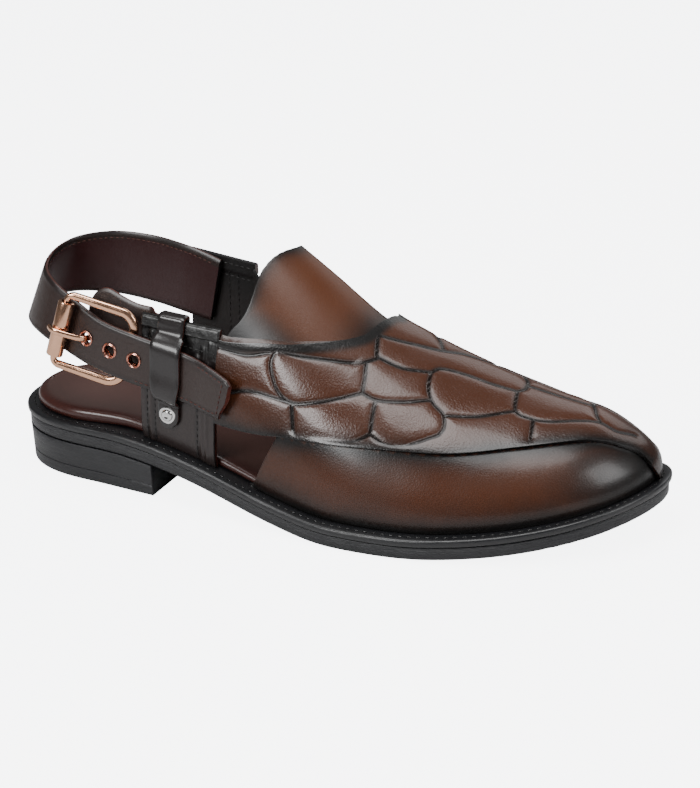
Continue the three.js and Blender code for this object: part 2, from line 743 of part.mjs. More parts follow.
add("outsole", outsole(), black);
add("heel", heel(), black);
add("welt", welt(), black);
add("insole", insole(), footbed);
add("upper", upper(), brown);
add("overlay", overlay(), brown);
add("tongue", tongue(), brown);
add("lateral_quarter", quarter(-1, quarterRear, quarterFront, lateralTop), darkBrown);
add("medial_quarter", quarter(1, innerQuarterRear, innerQuarterFront, innerTop), darkBrown);
add("back_strap", backStrap(), darkBrown);
add("buckle_frame", buckle(), gold);
add("buckle_roller", roller(), gold);
add("buckle_prong", prong(), gold);
add("backing_tab", backingTab(), tan);
add("keeper", keeper(), darkBrown);
add("rivet", rivet(), steel);
eyeletPlaces.forEach((t, i) => add(`eyelet_${i + 1}`, eyelet(t), copper));

export default shoe;
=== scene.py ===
import math

import bmesh
import bpy
from mathutils import Matrix, Vector, kdtree, noise


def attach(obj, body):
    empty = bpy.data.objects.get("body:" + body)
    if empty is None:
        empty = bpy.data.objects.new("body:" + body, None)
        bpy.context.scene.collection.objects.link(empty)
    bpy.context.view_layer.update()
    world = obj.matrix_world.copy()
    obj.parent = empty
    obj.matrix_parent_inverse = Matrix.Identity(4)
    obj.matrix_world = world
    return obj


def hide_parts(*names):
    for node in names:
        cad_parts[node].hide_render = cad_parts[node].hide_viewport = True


# A right peshawari chappal: +X to the toe, +Y to the inner side, +Z up, origin under the heel.
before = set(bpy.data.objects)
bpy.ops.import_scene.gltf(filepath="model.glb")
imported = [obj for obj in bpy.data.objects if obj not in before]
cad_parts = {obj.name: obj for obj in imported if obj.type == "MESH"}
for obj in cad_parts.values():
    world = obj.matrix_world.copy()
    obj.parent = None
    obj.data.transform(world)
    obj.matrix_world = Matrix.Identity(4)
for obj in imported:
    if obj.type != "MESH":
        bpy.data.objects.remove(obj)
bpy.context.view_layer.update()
mm = 0.001
print("stage: frame loaded")

# Sizes in millimetres, as in the solids
shoe = {
    "soleLength": 291.0, "ballWidth": 104.0, "instepHeight": 67.0,
    "heelRise": 16.8, "toeSpring": 15.5, "springPower": 1.9,
    "outsoleThick": 5.6, "weltThick": 3.4, "seam": 0.3,
    "heelBack": -38.0, "heelLength": 77.0, "heelTaper": 1.8, "weltReach": 5.5,
    "archStart": 0.577, "heelSeat": 0.182, "springStart": 0.646,
    "heelRoundEnd": 0.146, "heelRoundPower": 2.3, "toeRoundStart": 0.7,
    "lateralFullness": 1.9, "innerFullness": 2.1, "heightFullness": 2.04,
    "toeWallDepth": 32.0, "toeWallPower": 3.0, "toeWallRound": 2.4,
    "tuckHeight": 8.0, "tuckIn": 1.2, "innerFlare": 4.0,
    "upperWall": 1.8, "overlayThick": 1.6, "tongueThick": 1.8, "tongueGap": 0.5,
    "quarterThick": 2.2, "strapThick": 2.4, "strapHeight": 27.0,
}
soleTip = shoe["heelBack"] + shoe["soleLength"]
soleThick = shoe["outsoleThick"] + shoe["seam"] + shoe["weltThick"]


def xOf(along):
    return shoe["heelBack"] + along * shoe["soleLength"]


def alongOf(x):
    return (x - shoe["heelBack"]) / shoe["soleLength"]


def clamp(t, low=0.0, high=1.0):
    return min(max(t, low), high)


def smooth(t):
    t = clamp(t)
    return t * t * (3 - 2 * t)


def mix(a, b, t):
    return a + (b - a) * t


# One smooth curve through the values at the keys, read from samples
def curveOf(keys, values, samples=500):
    def exact(t):
        i = 0
        while i < len(keys) - 2 and t >= keys[i + 1]:
            i += 1
        t0, t1, v0, v1 = keys[i], keys[i + 1], values[i], values[i + 1]
        tBefore, vBefore = (keys[i - 1], values[i - 1]) if i > 0 else (t1, v1)
        tAfter, vAfter = (keys[i + 2], values[i + 2]) if i + 2 < len(keys) else (t0, v0)
        half = (t1 - t0) / 2
        wBefore = half / (t0 - tBefore)
        wAfter = half / (tAfter - t1)
        p = (t - t0) / (t1 - t0)
        sBefore = -wBefore * p**3 + 2 * wBefore * p**2 - wBefore * p
        s0 = (1 + wBefore) * p**3 + (-1.5 - 2 * wBefore) * p**2 + (-0.5 + wBefore) * p + 1
        s1 = (-1 - wAfter) * p**3 + (1.5 + wAfter) * p**2 + 0.5 * p
        sAfter = wAfter * p**3 - wAfter * p**2
        return sBefore * vBefore + s0 * v0 + s1 * v1 + sAfter * vAfter

    first, last = keys[0], keys[-1]
    table = [exact(first + (last - first) * i / samples) for i in range(samples + 1)]

    def read(t):
        place = clamp((t - first) / (last - first)) * samples
        i = min(int(place), samples - 1)
        return mix(table[i], table[i + 1], place - i)

    return read


outline = {
    "along": [0, 0.146, 0.235, 0.353, 0.473, 0.577, 0.672, 0.763, 0.85, 0.935, 1],
    "centre": [0, -0.006, -0.018, -0.036, -0.05, -0.042, -0.004, 0.043, 0.083, 0.127, 0.185],
    "half": [0.319, 0.322, 0.331, 0.346, 0.393, 0.45, 0.478, 0.481, 0.481, 0.481, 0.481],
}
lastShape = {
    "along": [0.18, 0.335, 0.418, 0.49, 0.579, 0.645, 0.731, 0.817, 0.892, 0.954, 1],
    "height": [1.8, 1.59, 1.432, 1.265, 1, 0.87, 0.705, 0.567, 0.45, 0.32, 0.27],
    "ridge": [0.6, 0.6, 0.6, 0.58, 0.54, 0.48, 0.42, 0.33, 0.25, 0.2, 0.2],
}
# Cut edges on the last: turn is 0 at the outer feather edge and 1 at the inner one
throat = {
    "along": [0.2, 0.34, 0.358, 0.378, 0.4, 0.435, 0.488, 0.54, 0.562, 0.575, 0.583],
    "lateral": [0.19, 0.19, 0.19, 0.193, 0.205, 0.23, 0.274, 0.345, 0.39, 0.43, 0.485],
    "inner": [0.78, 0.782, 0.81, 0.838, 0.838, 0.82, 0.776, 0.69, 0.632, 0.585, 0.53],
}
seamEdge = {
    "along": [0.2, 0.375, 0.44, 0.498, 0.583, 0.67, 0.742, 0.806, 0.88, 0.935, 0.965, 0.982, 1],
    "turn": [0.055, 0.066, 0.085, 0.112, 0.154, 0.189, 0.22, 0.263, 0.32, 0.37, 0.37, 0.3, 0.1],
}
innerEdge = {
    "along": [0.2, 0.462, 0.478, 0.496, 0.528, 0.566, 0.584],
    "turn": [1.1, 1.1, 0.93, 0.888, 0.807, 0.66, 0.5],
}
tongueEdge = {
    "turn": [0.16, 0.2, 0.24, 0.27, 0.34, 0.385, 0.42, 0.455, 0.49, 0.53, 0.58, 0.63, 0.69, 0.75, 0.84],
    "along": [0.366, 0.3795, 0.397, 0.4035, 0.4085, 0.4148, 0.4215, 0.429, 0.4345, 0.4345, 0.428, 0.417,
              0.404, 0.391, 0.365],
    "root": 0.64,
}
outlineCentre = curveOf(outline["along"], outline["centre"])
outlineHalf = curveOf(outline["along"], outline["half"])
ridgeHeight = curveOf(lastShape["along"], lastShape["height"])
ridgePlace = curveOf(lastShape["along"], lastShape["ridge"])
throatLateral = curveOf(throat["along"], throat["lateral"])
throatInner = curveOf(throat["along"], throat["inner"])
seamTurn = curveOf(seamEdge["along"], seamEdge["turn"])
innerEdgeTurn = curveOf(innerEdge["along"], innerEdge["turn"])
tongueRear = curveOf(tongueEdge["turn"], tongueEdge["along"])


def rise(x):
    archStart, heelSeat, springStart = [xOf(shoe[key]) for key in ("archStart", "heelSeat", "springStart")]
    arch = smooth((archStart - x) / (archStart - heelSeat))
    spring = clamp((x - springStart) / (soleTip - springStart), 0, 1.1) ** shoe["springPower"]
    return shoe["heelRise"] * arch + shoe["toeSpring"] * spring


def soleTop(x):
    return rise(x) + soleThick


def halfWidth(x, inset):
    heelEnd, toeStart = xOf(shoe["heelRoundEnd"]), xOf(shoe["toeRoundStart"])
    heelT = clamp((heelEnd - x) / (heelEnd - shoe["heelBack"] - inset))
    toeT = clamp((x - toeStart) / (soleTip - inset - toeStart))
    power = shoe["heelRoundPower"]
    heelShare = (1 - heelT**power) ** (1 / power)
    return (outlineHalf(alongOf(x)) * shoe["ballWidth"] - inset) * heelShare * math.sqrt(1 - toeT * toeT)


def centreLine(x):
    return outlineCentre(alongOf(x)) * shoe["ballWidth"]


# Point on the last in millimetres, moved outward by out
def lastPoint(x, turn, out):
    inset = shoe["weltReach"] - out
    tip = soleTip - inset
    half = halfWidth(min(x, tip), inset)
    ridge = ridgePlace(alongOf(x)) * half
    angle = math.pi * turn
    fullness = shoe["lateralFullness"] if turn < 0.5 else shoe["innerFullness"]
    side = -half if turn < 0.5 else half
    wallShare = clamp((x - (tip - shoe["toeWallDepth"])) / shoe["toeWallDepth"])
    toeWall = (1 - wallShare ** shoe["toeWallPower"]) ** (1 / shoe["toeWallRound"])
    top = (ridgeHeight(alongOf(x)) * shoe["instepHeight"] + out) * toeWall
    lift = top * abs(math.sin(angle)) ** (2 / shoe["heightFullness"])
    tuck = shoe["tuckIn"] * clamp(1 - lift / shoe["tuckHeight"]) ** 2 * min(1, half / shoe["tuckHeight"])
    across = mix(ridge, side, abs(math.cos(angle)) ** (2 / fullness))
    inward = math.copysign(tuck, across) if across else 0
    return Vector((x, centreLine(x) + across - inward, soleTop(x) + shoe["seam"] + lift))


# Smooth line through points, as the strap's path in the solids
class Path:
    def __init__(self, points):
        self.points = [Vector(p) for p in points]

    def at(self, t):
        points = self.points
        place = clamp(t) * (len(points) - 1)
        i = min(int(place), len(points) - 2)
        p1, p2 = points[i], points[i + 1]
        p0 = points[i - 1] if i > 0 else p1 * 2 - p2
        p3 = points[i + 2] if i + 2 < len(points) else p2 * 2 - p1
        d0, d1, d2 = [max((b - a).length, 1e-6) ** 0.5 for a, b in ((p0, p1), (p1, p2), (p2, p3))]
        m1 = ((p1 - p0) / d0 - (p2 - p0) / (d0 + d1) + (p2 - p1) / d1) * d1
        m2 = ((p2 - p1) / d1 - (p3 - p1) / (d1 + d2) + (p3 - p2) / d2) * d1
        t = place - i
        return p1 + m1 * t + (p1 * -3 + p2 * 3 - m1 * 2 - m2) * t**2 + (p1 * 2 - p2 * 2 + m1 + m2) * t**3

    def ahead(self, t):
        return (self.at(min(t + 1e-4, 1)) - self.at(max(t - 1e-4, 0))).normalized()


# Materials: short ways to make and join nodes
def nodeGroup(name, inputs, outputs):
    group = bpy.data.node_groups.new(name, "ShaderNodeTree")
    for label, kind, value in inputs:
        socket = group.interface.new_socket(label, in_out="INPUT", socket_type=kind)
        socket.default_value = value
    for label, kind in outputs:
        group.interface.new_socket(label, in_out="OUTPUT", socket_type=kind)
    return group, group.nodes.new("NodeGroupInput"), group.nodes.new("NodeGroupOutput")


def joinNodes(tree, kind, sockets, **settings):
    node = tree.nodes.new(kind)
    for key, value in settings.items():
        setattr(node, key, value)
    for key, value in sockets.items():
        if isinstance(value, bpy.types.NodeSocket):
            tree.links.new(value, node.inputs[key])
        else:
            node.inputs[key].default_value = value
    return node


def calculate(tree, operation, a, b=0.0, c=0.0):
    return joinNodes(tree, "ShaderNodeMath", {0: a, 1: b, 2: c}, operation=operation).outputs[0]


def placeOf(tree):
    return joinNodes(tree, "ShaderNodeTexCoord", {}).outputs["Object"]


def noiseOf(tree, place, scale, detail=2.0, roughness=0.5, output="Fac"):
    sockets = {"Vector": place, "Scale": scale, "Detail": detail, "Roughness": roughness}
    return joinNodes(tree, "ShaderNodeTexNoise", sockets).outputs[output]


def pebblesOf(tree, place, scale):
    sockets = {"Vector": place, "Scale": scale}
    return joinNodes(tree, "ShaderNodeTexVoronoi", sockets, feature="SMOOTH_F1").outputs["Distance"]


def spreadOf(tree, value, old, new, **settings):
    sockets = {"Value": value, "From Min": old[0], "From Max": old[1], "To Min": new[0], "To Max": new[1]}
    return joinNodes(tree, "ShaderNodeMapRange", sockets, **settings).outputs[0]


def blendColours(tree, share, a, b):
    node = joinNodes(tree, "ShaderNodeMix", {"Factor": share}, data_type="RGBA")
    for key, value in (("A", a), ("B", b)):
        socket = [s for s in node.inputs if s.name == key and s.type == "RGBA"][0]
        if isinstance(value, bpy.types.NodeSocket):
            tree.links.new(value, socket)
        else:
            socket.default_value = value
    return [s for s in node.outputs if s.type == "RGBA"][0]


# Fine leather grain: small pebbles and faint creases, as a height from 0 to 1
def makeGrain():
    group, inputs, outputs = nodeGroup(
        "LeatherGrain",
        [("Pebble Scale", "NodeSocketFloat", 1500.0), ("Crease Amount", "NodeSocketFloat", 0.3)],
        [("Height", "NodeSocketFloat")],
    )
    place = placeOf(group)
    bend = noiseOf(group, place, 300.0, output="Color")
    shifted = joinNodes(group, "ShaderNodeVectorMath", {0: bend, 1: (0.0008, 0.0008, 0.0008)},
                        operation="MULTIPLY").outputs[0]
    moved = joinNodes(group, "ShaderNodeVectorMath", {0: place, 1: shifted}, operation="ADD").outputs[0]
    creases = noiseOf(group, moved, 420.0, 4.0, 0.6)
    small = calculate(group, "MULTIPLY", pebblesOf(group, moved, inputs.outputs[0]), 0.8)
    both = calculate(group, "MULTIPLY_ADD", creases, inputs.outputs[1], small)
    group.links.new(both, outputs.inputs[0])
    return group


# Hand burnish and painted shade: one value blends the dark colour over the open colour, with soft cloudiness.
# The dark is burnish at edges and toes, and painted shade near the sole, on the upper's inner side and beside
# the throat around the tongue
def makeBurnishAndShade():
    group, inputs, outputs = nodeGroup(
        "HandBurnishAndShade",
        [("Open Colour", "NodeSocketColor", (0.1, 0.04, 0.02, 1)),
         ("Edge Colour", "NodeSocketColor", (0.01, 0.006, 0.005, 1)),
         ("Burnish And Shade", "NodeSocketFloat", 0.0), ("Cloud Scale", "NodeSocketFloat", 45.0)],
        [("Colour", "NodeSocketColor"), ("Cloud", "NodeSocketFloat")],
    )
    cloud = noiseOf(group, placeOf(group), inputs.outputs[3], 3.0, 0.55)
    shift = calculate(group, "MULTIPLY_ADD", cloud, 0.5, -0.25)
    share = calculate(group, "ADD", inputs.outputs[2], shift)
    share = spreadOf(group, share, (0.02, 0.95), (0.0, 1.0), interpolation_type="SMOOTHSTEP")
    colour = blendColours(group, share, inputs.outputs[0], inputs.outputs[1])
    group.links.new(colour, outputs.inputs[0])
    group.links.new(cloud, outputs.inputs[1])
    return group


grainGroup = makeGrain()
burnishAndShadeGroup = makeBurnishAndShade()


def startMaterial(name):
    material = bpy.data.materials.new(name)
    material.use_nodes = True
    tree = material.node_tree
    shader = tree.nodes["Principled BSDF"]
    return material, tree, shader


def attributeOf(tree, name):
    return joinNodes(tree, "ShaderNodeAttribute", {}, attribute_name=name).outputs["Fac"]


def setShader(shader, **values):
    for key, value in values.items():
        shader.inputs[key.replace("_", " ")].default_value = value


def paint(tree, shader, share, a, b):
    tree.links.new(blendColours(tree, share, (*a, 1), (*b, 1)), shader.inputs["Base Color"])


def bump(tree, shader, height, strength, distance, normal=None):
    sockets = {"Height": height, "Strength": strength, "Distance": distance}
    if normal is not None:
        sockets["Normal"] = normal
    node = joinNodes(tree, "ShaderNodeBump", sockets)
    tree.links.new(node.outputs[0], shader.inputs["Normal"])
    return node.outputs[0]


def leather(name, look):
    material, tree, shader = startMaterial(name)
    colours = {
        "Open Colour": (*look["open"], 1), "Edge Colour": (*look["edge"], 1),
        "Burnish And Shade": attributeOf(tree, "burnishAndShade"), "Cloud Scale": look.get("cloud", 45),
    }
    darkBlend = joinNodes(tree, "ShaderNodeGroup", colours, node_tree=burnishAndShadeGroup)
    tree.links.new(darkBlend.outputs["Colour"], shader.inputs["Base Color"])
    rough = spreadOf(tree, darkBlend.outputs["Cloud"], (0.3, 0.7), look["rough"])
    tree.links.new(rough, shader.inputs["Roughness"])
    scales = {"Pebble Scale": look["pebble"], "Crease Amount": look["crease"]}
    grain = joinNodes(tree, "ShaderNodeGroup", scales, node_tree=grainGroup)
    normal = bump(tree, shader, grain.outputs["Height"], look["grain"], 0.0003)
    if "crinkle" in look:
        place = placeOf(tree)
        folds = pebblesOf(tree, place, look["crinkle"])
        waves = noiseOf(tree, place, look["crinkle"] * 0.7, 3.0)
        gathers = calculate(tree, "ADD", folds, waves)
        height = calculate(tree, "MULTIPLY", gathers, attributeOf(tree, "crinkle"))
        bump(tree, shader, height, 0.8, 0.001, normal)
    if "cord" in look:
        away = calculate(tree, "DIVIDE", attributeOf(tree, "groove"), look["cordWide"])
        fall = calculate(tree, "MULTIPLY", calculate(tree, "POWER", away, 2.0), -1.0)
        cord = calculate(tree, "EXPONENT", fall)
        bump(tree, shader, cord, 1.0, look["cord"], normal)
    setShader(shader, Coat_Weight=look["coat"], Coat_Roughness=look["coatRough"], IOR=1.48,
              Specular_IOR_Level=look.get("specular", 0.5))
    return material


finishes = {
    "vampLeather": {
        "open": (0.06, 0.0175, 0.0062), "edge": (0.0022, 0.0016, 0.0015), "pebble": 1500, "crease": 0.5,
        "grain": 0.22, "rough": (0.32, 0.44), "coat": 0.3, "coatRough": 0.2, "specular": 0.36,
    },
    "crocLeather": {
        "open": (0.054, 0.016, 0.006), "edge": (0.0024, 0.0017, 0.0015), "pebble": 1300, "crease": 0.6,
        "grain": 0.42, "rough": (0.28, 0.4), "coat": 0.36, "coatRough": 0.15, "specular": 0.4,
        "cord": 0.0013, "cordWide": 0.48,
    },
    "tongueLeather": {
        "open": (0.078, 0.0235, 0.0078), "edge": (0.0024, 0.0018, 0.0018), "pebble": 1500, "crease": 0.4,
        "grain": 0.16, "rough": (0.34, 0.46), "coat": 0.2, "coatRough": 0.25, "specular": 0.36,
    },
    "strapLeather": {
        "open": (0.023, 0.0118, 0.0094), "edge": (0.008, 0.004, 0.0035), "pebble": 1500, "crease": 0.5,
        "grain": 0.2, "rough": (0.36, 0.48), "coat": 0.25, "coatRough": 0.25,
    },
    "quarterLeather": {
        "open": (0.018, 0.0105, 0.0095), "edge": (0.0035, 0.003, 0.003), "pebble": 1400, "crease": 0.5,
        "grain": 0.2, "rough": (0.34, 0.46), "coat": 0.3, "coatRough": 0.22, "crinkle": 210,
    },
    "keeperLeather": {
        "open": (0.012, 0.0085, 0.0085), "edge": (0.004, 0.0034, 0.0034), "pebble": 1500, "crease": 0.4,
        "grain": 0.14, "rough": (0.26, 0.36), "coat": 0.45, "coatRough": 0.18,
    },
    "strapLining": {
        "open": (0.03, 0.0052, 0.0056), "edge": (0.009, 0.0026, 0.0026), "pebble": 1700, "crease": 0.7,
        "grain": 0.14, "rough": (0.42, 0.55), "coat": 0.12, "coatRough": 0.35,
    },
    "darkLining": {
        "open": (0.009, 0.006, 0.0055), "edge": (0.004, 0.003, 0.003), "pebble": 1700, "crease": 0.7,
        "grain": 0.14, "rough": (0.5, 0.62), "coat": 0.05, "coatRough": 0.35,
    },
    "edgePaint": {
        "open": (0.08, 0.0145, 0.008), "edge": (0.035, 0.008, 0.005), "pebble": 1800, "crease": 1.0,
        "grain": 0.4, "rough": (0.38, 0.5), "coat": 0.2, "coatRough": 0.3,
    },
    "blackEdge": {
        "open": (0.006, 0.005, 0.005), "edge": (0.004, 0.0035, 0.0035), "pebble": 1800, "crease": 1.0,
        "grain": 0.3, "rough": (0.34, 0.45), "coat": 0.3, "coatRough": 0.25,
    },
    "footbedLeather": {
        "open": (0.075, 0.037, 0.031), "edge": (0.045, 0.0105, 0.007), "pebble": 1900, "crease": 0.6,
        "grain": 0.12, "rough": (0.3, 0.4), "coat": 0.4, "coatRough": 0.22, "cloud": 30,
    },
}
materials = {name: leather(name, look) for name, look in finishes.items()}


# Black sole edge: fine lines follow the band, with a soft bloom of polish
def makeSole(name, look):
    material, tree, shader = startMaterial(name)
    wobble = noiseOf(tree, placeOf(tree), 60.0)
    band = calculate(tree, "MULTIPLY", attributeOf(tree, "band"), look["lines"])
    bent = calculate(tree, "MULTIPLY", wobble, 1.5)
    stretched = joinNodes(tree, "ShaderNodeCombineXYZ", {"X": band, "Y": bent}).outputs[0]
    grooves = noiseOf(tree, stretched, 1.6, 4.0)
    wave = calculate(tree, "SINE", calculate(tree, "MULTIPLY_ADD", wobble, 2.0, band))
    height = calculate(tree, "MULTIPLY_ADD", wave, look["wave"], grooves)
    paint(tree, shader, wobble, look["dark"], look["light"])
    rough = spreadOf(tree, grooves, (0.35, 0.65), look["rough"])
    tree.links.new(rough, shader.inputs["Roughness"])
    bump(tree, shader, height, look["depth"], 0.0004)
    setShader(shader, Coat_Weight=look["coat"], Coat_Roughness=0.3, IOR=1.5)
    return material


soleLooks = {
    "soleEdge": {
        "lines": 6.0, "wave": 0.25, "dark": (0.006, 0.0062, 0.0075), "light": (0.012, 0.0124, 0.015),
        "rough": (0.34, 0.5), "depth": 0.5, "coat": 0.2,
    },
    "weltBlack": {
        "lines": 2.0, "wave": 0.0, "dark": (0.0045, 0.0047, 0.0055), "light": (0.009, 0.0093, 0.011),
        "rough": (0.3, 0.42), "depth": 0.3, "coat": 0.3,
    },
    "heelBlack": {
        "lines": 3.0, "wave": 0.1, "dark": (0.0055, 0.0058, 0.007), "light": (0.011, 0.0114, 0.0138),
        "rough": (0.36, 0.52), "depth": 0.4, "coat": 0.2,
    },
}
materials.update({name: makeSole(name, look) for name, look in soleLooks.items()})


def makeNubuck():
    material, tree, shader = startMaterial("tanNubuck")
    nap = noiseOf(tree, placeOf(tree), 900.0, 5.0, 0.7)
    paint(tree, shader, nap, (0.035, 0.013, 0.006), (0.085, 0.034, 0.015))
    bump(tree, shader, nap, 0.5, 0.0004)
    setShader(shader, Roughness=0.85, Sheen_Weight=0.25, Sheen_Roughness=0.5)
    return material


def makeMetal(name, colour, rough):
    material, tree, shader = startMaterial(name)
    haze = noiseOf(tree, placeOf(tree), 260.0, 4.0)
    paint(tree, shader, haze, colour, [c * 0.86 for c in colour])
    spread = spreadOf(tree, haze, (0.3, 0.7), (rough * 0.7, rough * 1.4))
    tree.links.new(spread, shader.inputs["Roughness"])
    bump(tree, shader, haze, 0.04, 0.0002)
    setShader(shader, Metallic=1.0)
    return material


def makeThread(name, colour, rough):
    material, tree, shader = startMaterial(name)
    twist = noiseOf(tree, placeOf(tree), 2600.0)
    paint(tree, shader, twist, [c * 0.6 for c in colour], colour)
    bump(tree, shader, twist, 0.5, 0.0002)
    setShader(shader, Roughness=rough)
    return material


materials["tanNubuck"] = makeNubuck()
materials["roseGold"] = makeMetal("roseGold", (0.86, 0.50, 0.33), 0.16)
materials["copper"] = makeMetal("copper", (0.62, 0.29, 0.22), 0.22)
materials["chrome"] = makeMetal("chrome", (0.8, 0.79, 0.78), 0.1)
materials["redThread"] = makeThread("redThread", (0.075, 0.019, 0.012), 0.6)
materials["blackThread"] = makeThread("blackThread", (0.01, 0.009, 0.009), 0.45)
materials["waxThread"] = makeThread("waxThread", (0.016, 0.015, 0.015), 0.22)
print("stage: materials")


# Pieces: a mesh with its materials, on the body it rides on
def finishPiece(shape, name, looks, replaces, sharp):
    mesh = bpy.data.meshes.new(name)
    shape.to_mesh(mesh)
    shape.free()
    piece = bpy.data.objects.new(name, mesh)
    bpy.context.scene.collection.objects.link(piece)
    for look in looks:
        mesh.materials.append(materials[look])
    mesh.shade_smooth()
    mesh.set_sharp_from_angle(angle=math.radians(sharp))
    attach(piece, "root")
    if replaces:
        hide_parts(*replaces)
    return piece


# A grid grown into a closed block: place(u, v, w) gives millimetres, tags the values kept at each vertex
def block(alongSteps, acrossSteps, layers, place, tags, slots=None):
    shape = bmesh.new()
    bmesh.ops.create_grid(shape, x_segments=alongSteps, y_segments=acrossSteps, size=0.5)
    uLayer = shape.verts.layers.float.new("u")
    vLayer = shape.verts.layers.float.new("v")
    wLayer = shape.verts.layers.float.new("w")
    for vert in shape.verts:
        vert[uLayer] = vert.co.x + 0.5
        vert[vLayer] = vert.co.y + 0.5
    top = shape.faces[:]
    for level in range(1, layers + 1):
        grown = bmesh.ops.extrude_face_region(shape, geom=top)["geom"]
        if level > 1:
            bmesh.ops.delete(shape, geom=top, context="FACES_ONLY")
        top = [item for item in grown if isinstance(item, bmesh.types.BMFace)]
        for face in top:
            for vert in face.verts:
                vert[wLayer] = level / layers
    tagLayers = {key: shape.verts.layers.float.new(key) for key in tags}
    for vert in shape.verts:
        u, v, w = vert[uLayer], vert[vLayer], vert[wLayer]
        vert.co = Vector(place(u, v, w)) * mm
        for key, value in tags.items():
            vert[tagLayers[key]] = value(u, v, w)
    if slots:
        for face in shape.faces:
            us, vs, ws = zip(*[(vert[uLayer], vert[vLayer], vert[wLayer]) for vert in face.verts])
            face.material_index = slots(min(us), max(us), min(vs), max(vs), min(ws), max(ws))
    bmesh.ops.remove_doubles(shape, verts=shape.verts, dist=2e-6)
    bmesh.ops.recalc_face_normals(shape, faces=shape.faces)
    return shape


def addBevel(piece, width, segments, angle):
    modifier = piece.modifiers.new("Rounded edges", "BEVEL")
    modifier.width = width * mm
    modifier.segments = segments
    modifier.limit_method = "ANGLE"
    modifier.angle_limit = math.radians(angle)


# Sole: outsole, welt band, heel block and padded footbed
sole = {
    "steps": 170, "acrossSteps": 26, "heelSteps": 60, "footbedSteps": 120,
    "rag": 0.35, "ragStart": 196, "ragSpan": 30, "heelLine": 0.34,
    "heelPad": 5.5, "pad": 3.0, "padEnd": 0.55, "footbedDip": 1.2, "dipSpan": 30,
    "heelReach": 5.0, "hiddenReach": 9.2, "reachStart": 0.2, "reachSpan": 0.1,
    "footbedRows": [(0.7, 0.02), (0.15, 0.2), (0, 0.45), (0.25, 0.68), (0.8, 0.86), (1.7, 0.96), (3.4, 1.0)],
}


# Rows of (inset, height at x and side) from the bottom up; a part with an end stops short of the toe
def soleBlock(rows, end, steps, burnishAndShade=None):
    last = len(rows) - 1

    def spot(u, v, w):
        inset, up = rows[round(w * last)]
        inset = inset(u) if callable(inset) else inset
        final = soleTip - inset if end is None else end
        ease = (1 - math.cos(math.pi * u)) / 2 if end is None else 1 - math.cos(math.pi * u / 2)
        x = mix(shoe["heelBack"] + inset, final, ease)
        side = 2 * v - 1
        return x, centreLine(x) + side * halfWidth(x, inset), up(x, side)

    def height(u, v, w):
        x, _, z = spot(u, v, w)
        return z - rise(x)

    tags = {"band": height, "burnishAndShade": burnishAndShade or (lambda u, v, w: 0.0)}
    return block(steps, sole["acrossSteps"], last, spot, tags)


# The outsole's lower edge is a little ragged under the toe
def ragged(x, side):
    torn = noise.noise(Vector((x * 0.9, side * 3, 4.1))) * smooth((x - sole["ragStart"]) / sole["ragSpan"])
    return sole["rag"] * torn


def bandLevel(height):
    return lambda x, side: rise(x) + height


def makeOutsole():
    thick = shoe["outsoleThick"]

    def low(part):
        return lambda x, side: rise(x) + part + max(0, ragged(x, side))

    rows = [(2.0, low(0)), (1.35, low(0.35)), (1.0, low(1.0)), (1.0, bandLevel(thick * 0.5)),
            (1.0, bandLevel(thick - 0.35)), (1.25, bandLevel(thick))]
    shape = soleBlock(rows, None, sole["steps"])
    piece = finishPiece(shape, "outsoleBand", ["soleEdge"], ["outsole"], 60)


def makeWelt():
    base = shoe["outsoleThick"] + shoe["seam"]
    top = base + shoe["weltThick"]
    rows = [(1.3, base), (0.5, base + 0.25), (0.1, base + 0.8), (0.0, mix(base, top, 0.5)), (0.05, top - 0.8),
            (0.35, top - 0.25), (1.0, top), (2.6, top + 0.05)]
    shape = soleBlock([(inset, bandLevel(height)) for inset, height in rows], None, sole["steps"])
    piece = finishPiece(shape, "weltBand", ["weltBlack"], ["welt"], 60)


def makeHeel():
    taper, line = shoe["heelTaper"], sole["heelLine"]
    end = shoe["heelBack"] + shoe["heelLength"]

    def flat(height):
        return lambda x, side: height

    def share(part, drop=0.0):
        return lambda x, side: (rise(x) - shoe["seam"]) * part - drop

    rows = [(taper + 0.8, flat(0)), (taper + 0.2, flat(0.25)), (taper, flat(0.8)),
            (taper - 0.15, share(line, 0.25)), (taper + 0.25, share(line)), (taper - 0.2, share(line, -0.25)),
            (1.3, share(0.75)), (1.0, share(0.985)), (1.2, share(1))]
    piece = finishPiece(soleBlock(rows, end, sole["heelSteps"]), "heelBlock", ["heelBlack"], ["heel"], 50)
    addBevel(piece, 0.3, 2, 60)


def makeFootbed():
    def reach(u):
        ahead = smooth((u - sole["reachStart"]) / sole["reachSpan"])
        return mix(sole["heelReach"], sole["hiddenReach"], ahead)

    def padLevel(share):
        dip = sole["footbedDip"] if share == 1 else 0

        def up(x, side):
            thick = mix(sole["heelPad"], sole["pad"], smooth(alongOf(x) / sole["padEnd"]))
            bowl = dip * (1 - side * side) ** 1.5 * smooth((x - shoe["heelBack"]) / sole["dipSpan"])
            return soleTop(x) + shoe["seam"] + share * thick - bowl
        return up

    def edge(u, v, w):
        return 0.95 if w < 0.99 else clamp(0.95 - 8 * min(v, 1 - v)) * 0.7

    rows = [(lambda u, more=more: reach(u) + more, padLevel(share)) for more, share in sole["footbedRows"]]
    shape = soleBlock(rows, None, sole["footbedSteps"], edge)
    piece = finishPiece(shape, "paddedFootbed", ["footbedLeather"], ["insole"], 60)


makeOutsole()
makeWelt()
makeHeel()
makeFootbed()
print("stage: sole")


# Upper: one skin that follows the last, cut to its edges
upper = {
    "alongSteps": 200, "acrossSteps": 120, "rearPower": 1.75, "snap": 2.4, "cornerSpan": 0.15,
    "cornerTurn": 0.6, "rings": 4, "rounds": 8,
    "soleShadeFade": 9.0, "seamFade": 8.5, "edgeFade": 2.5, "toeStart": 196, "toeSpan": 48,
}


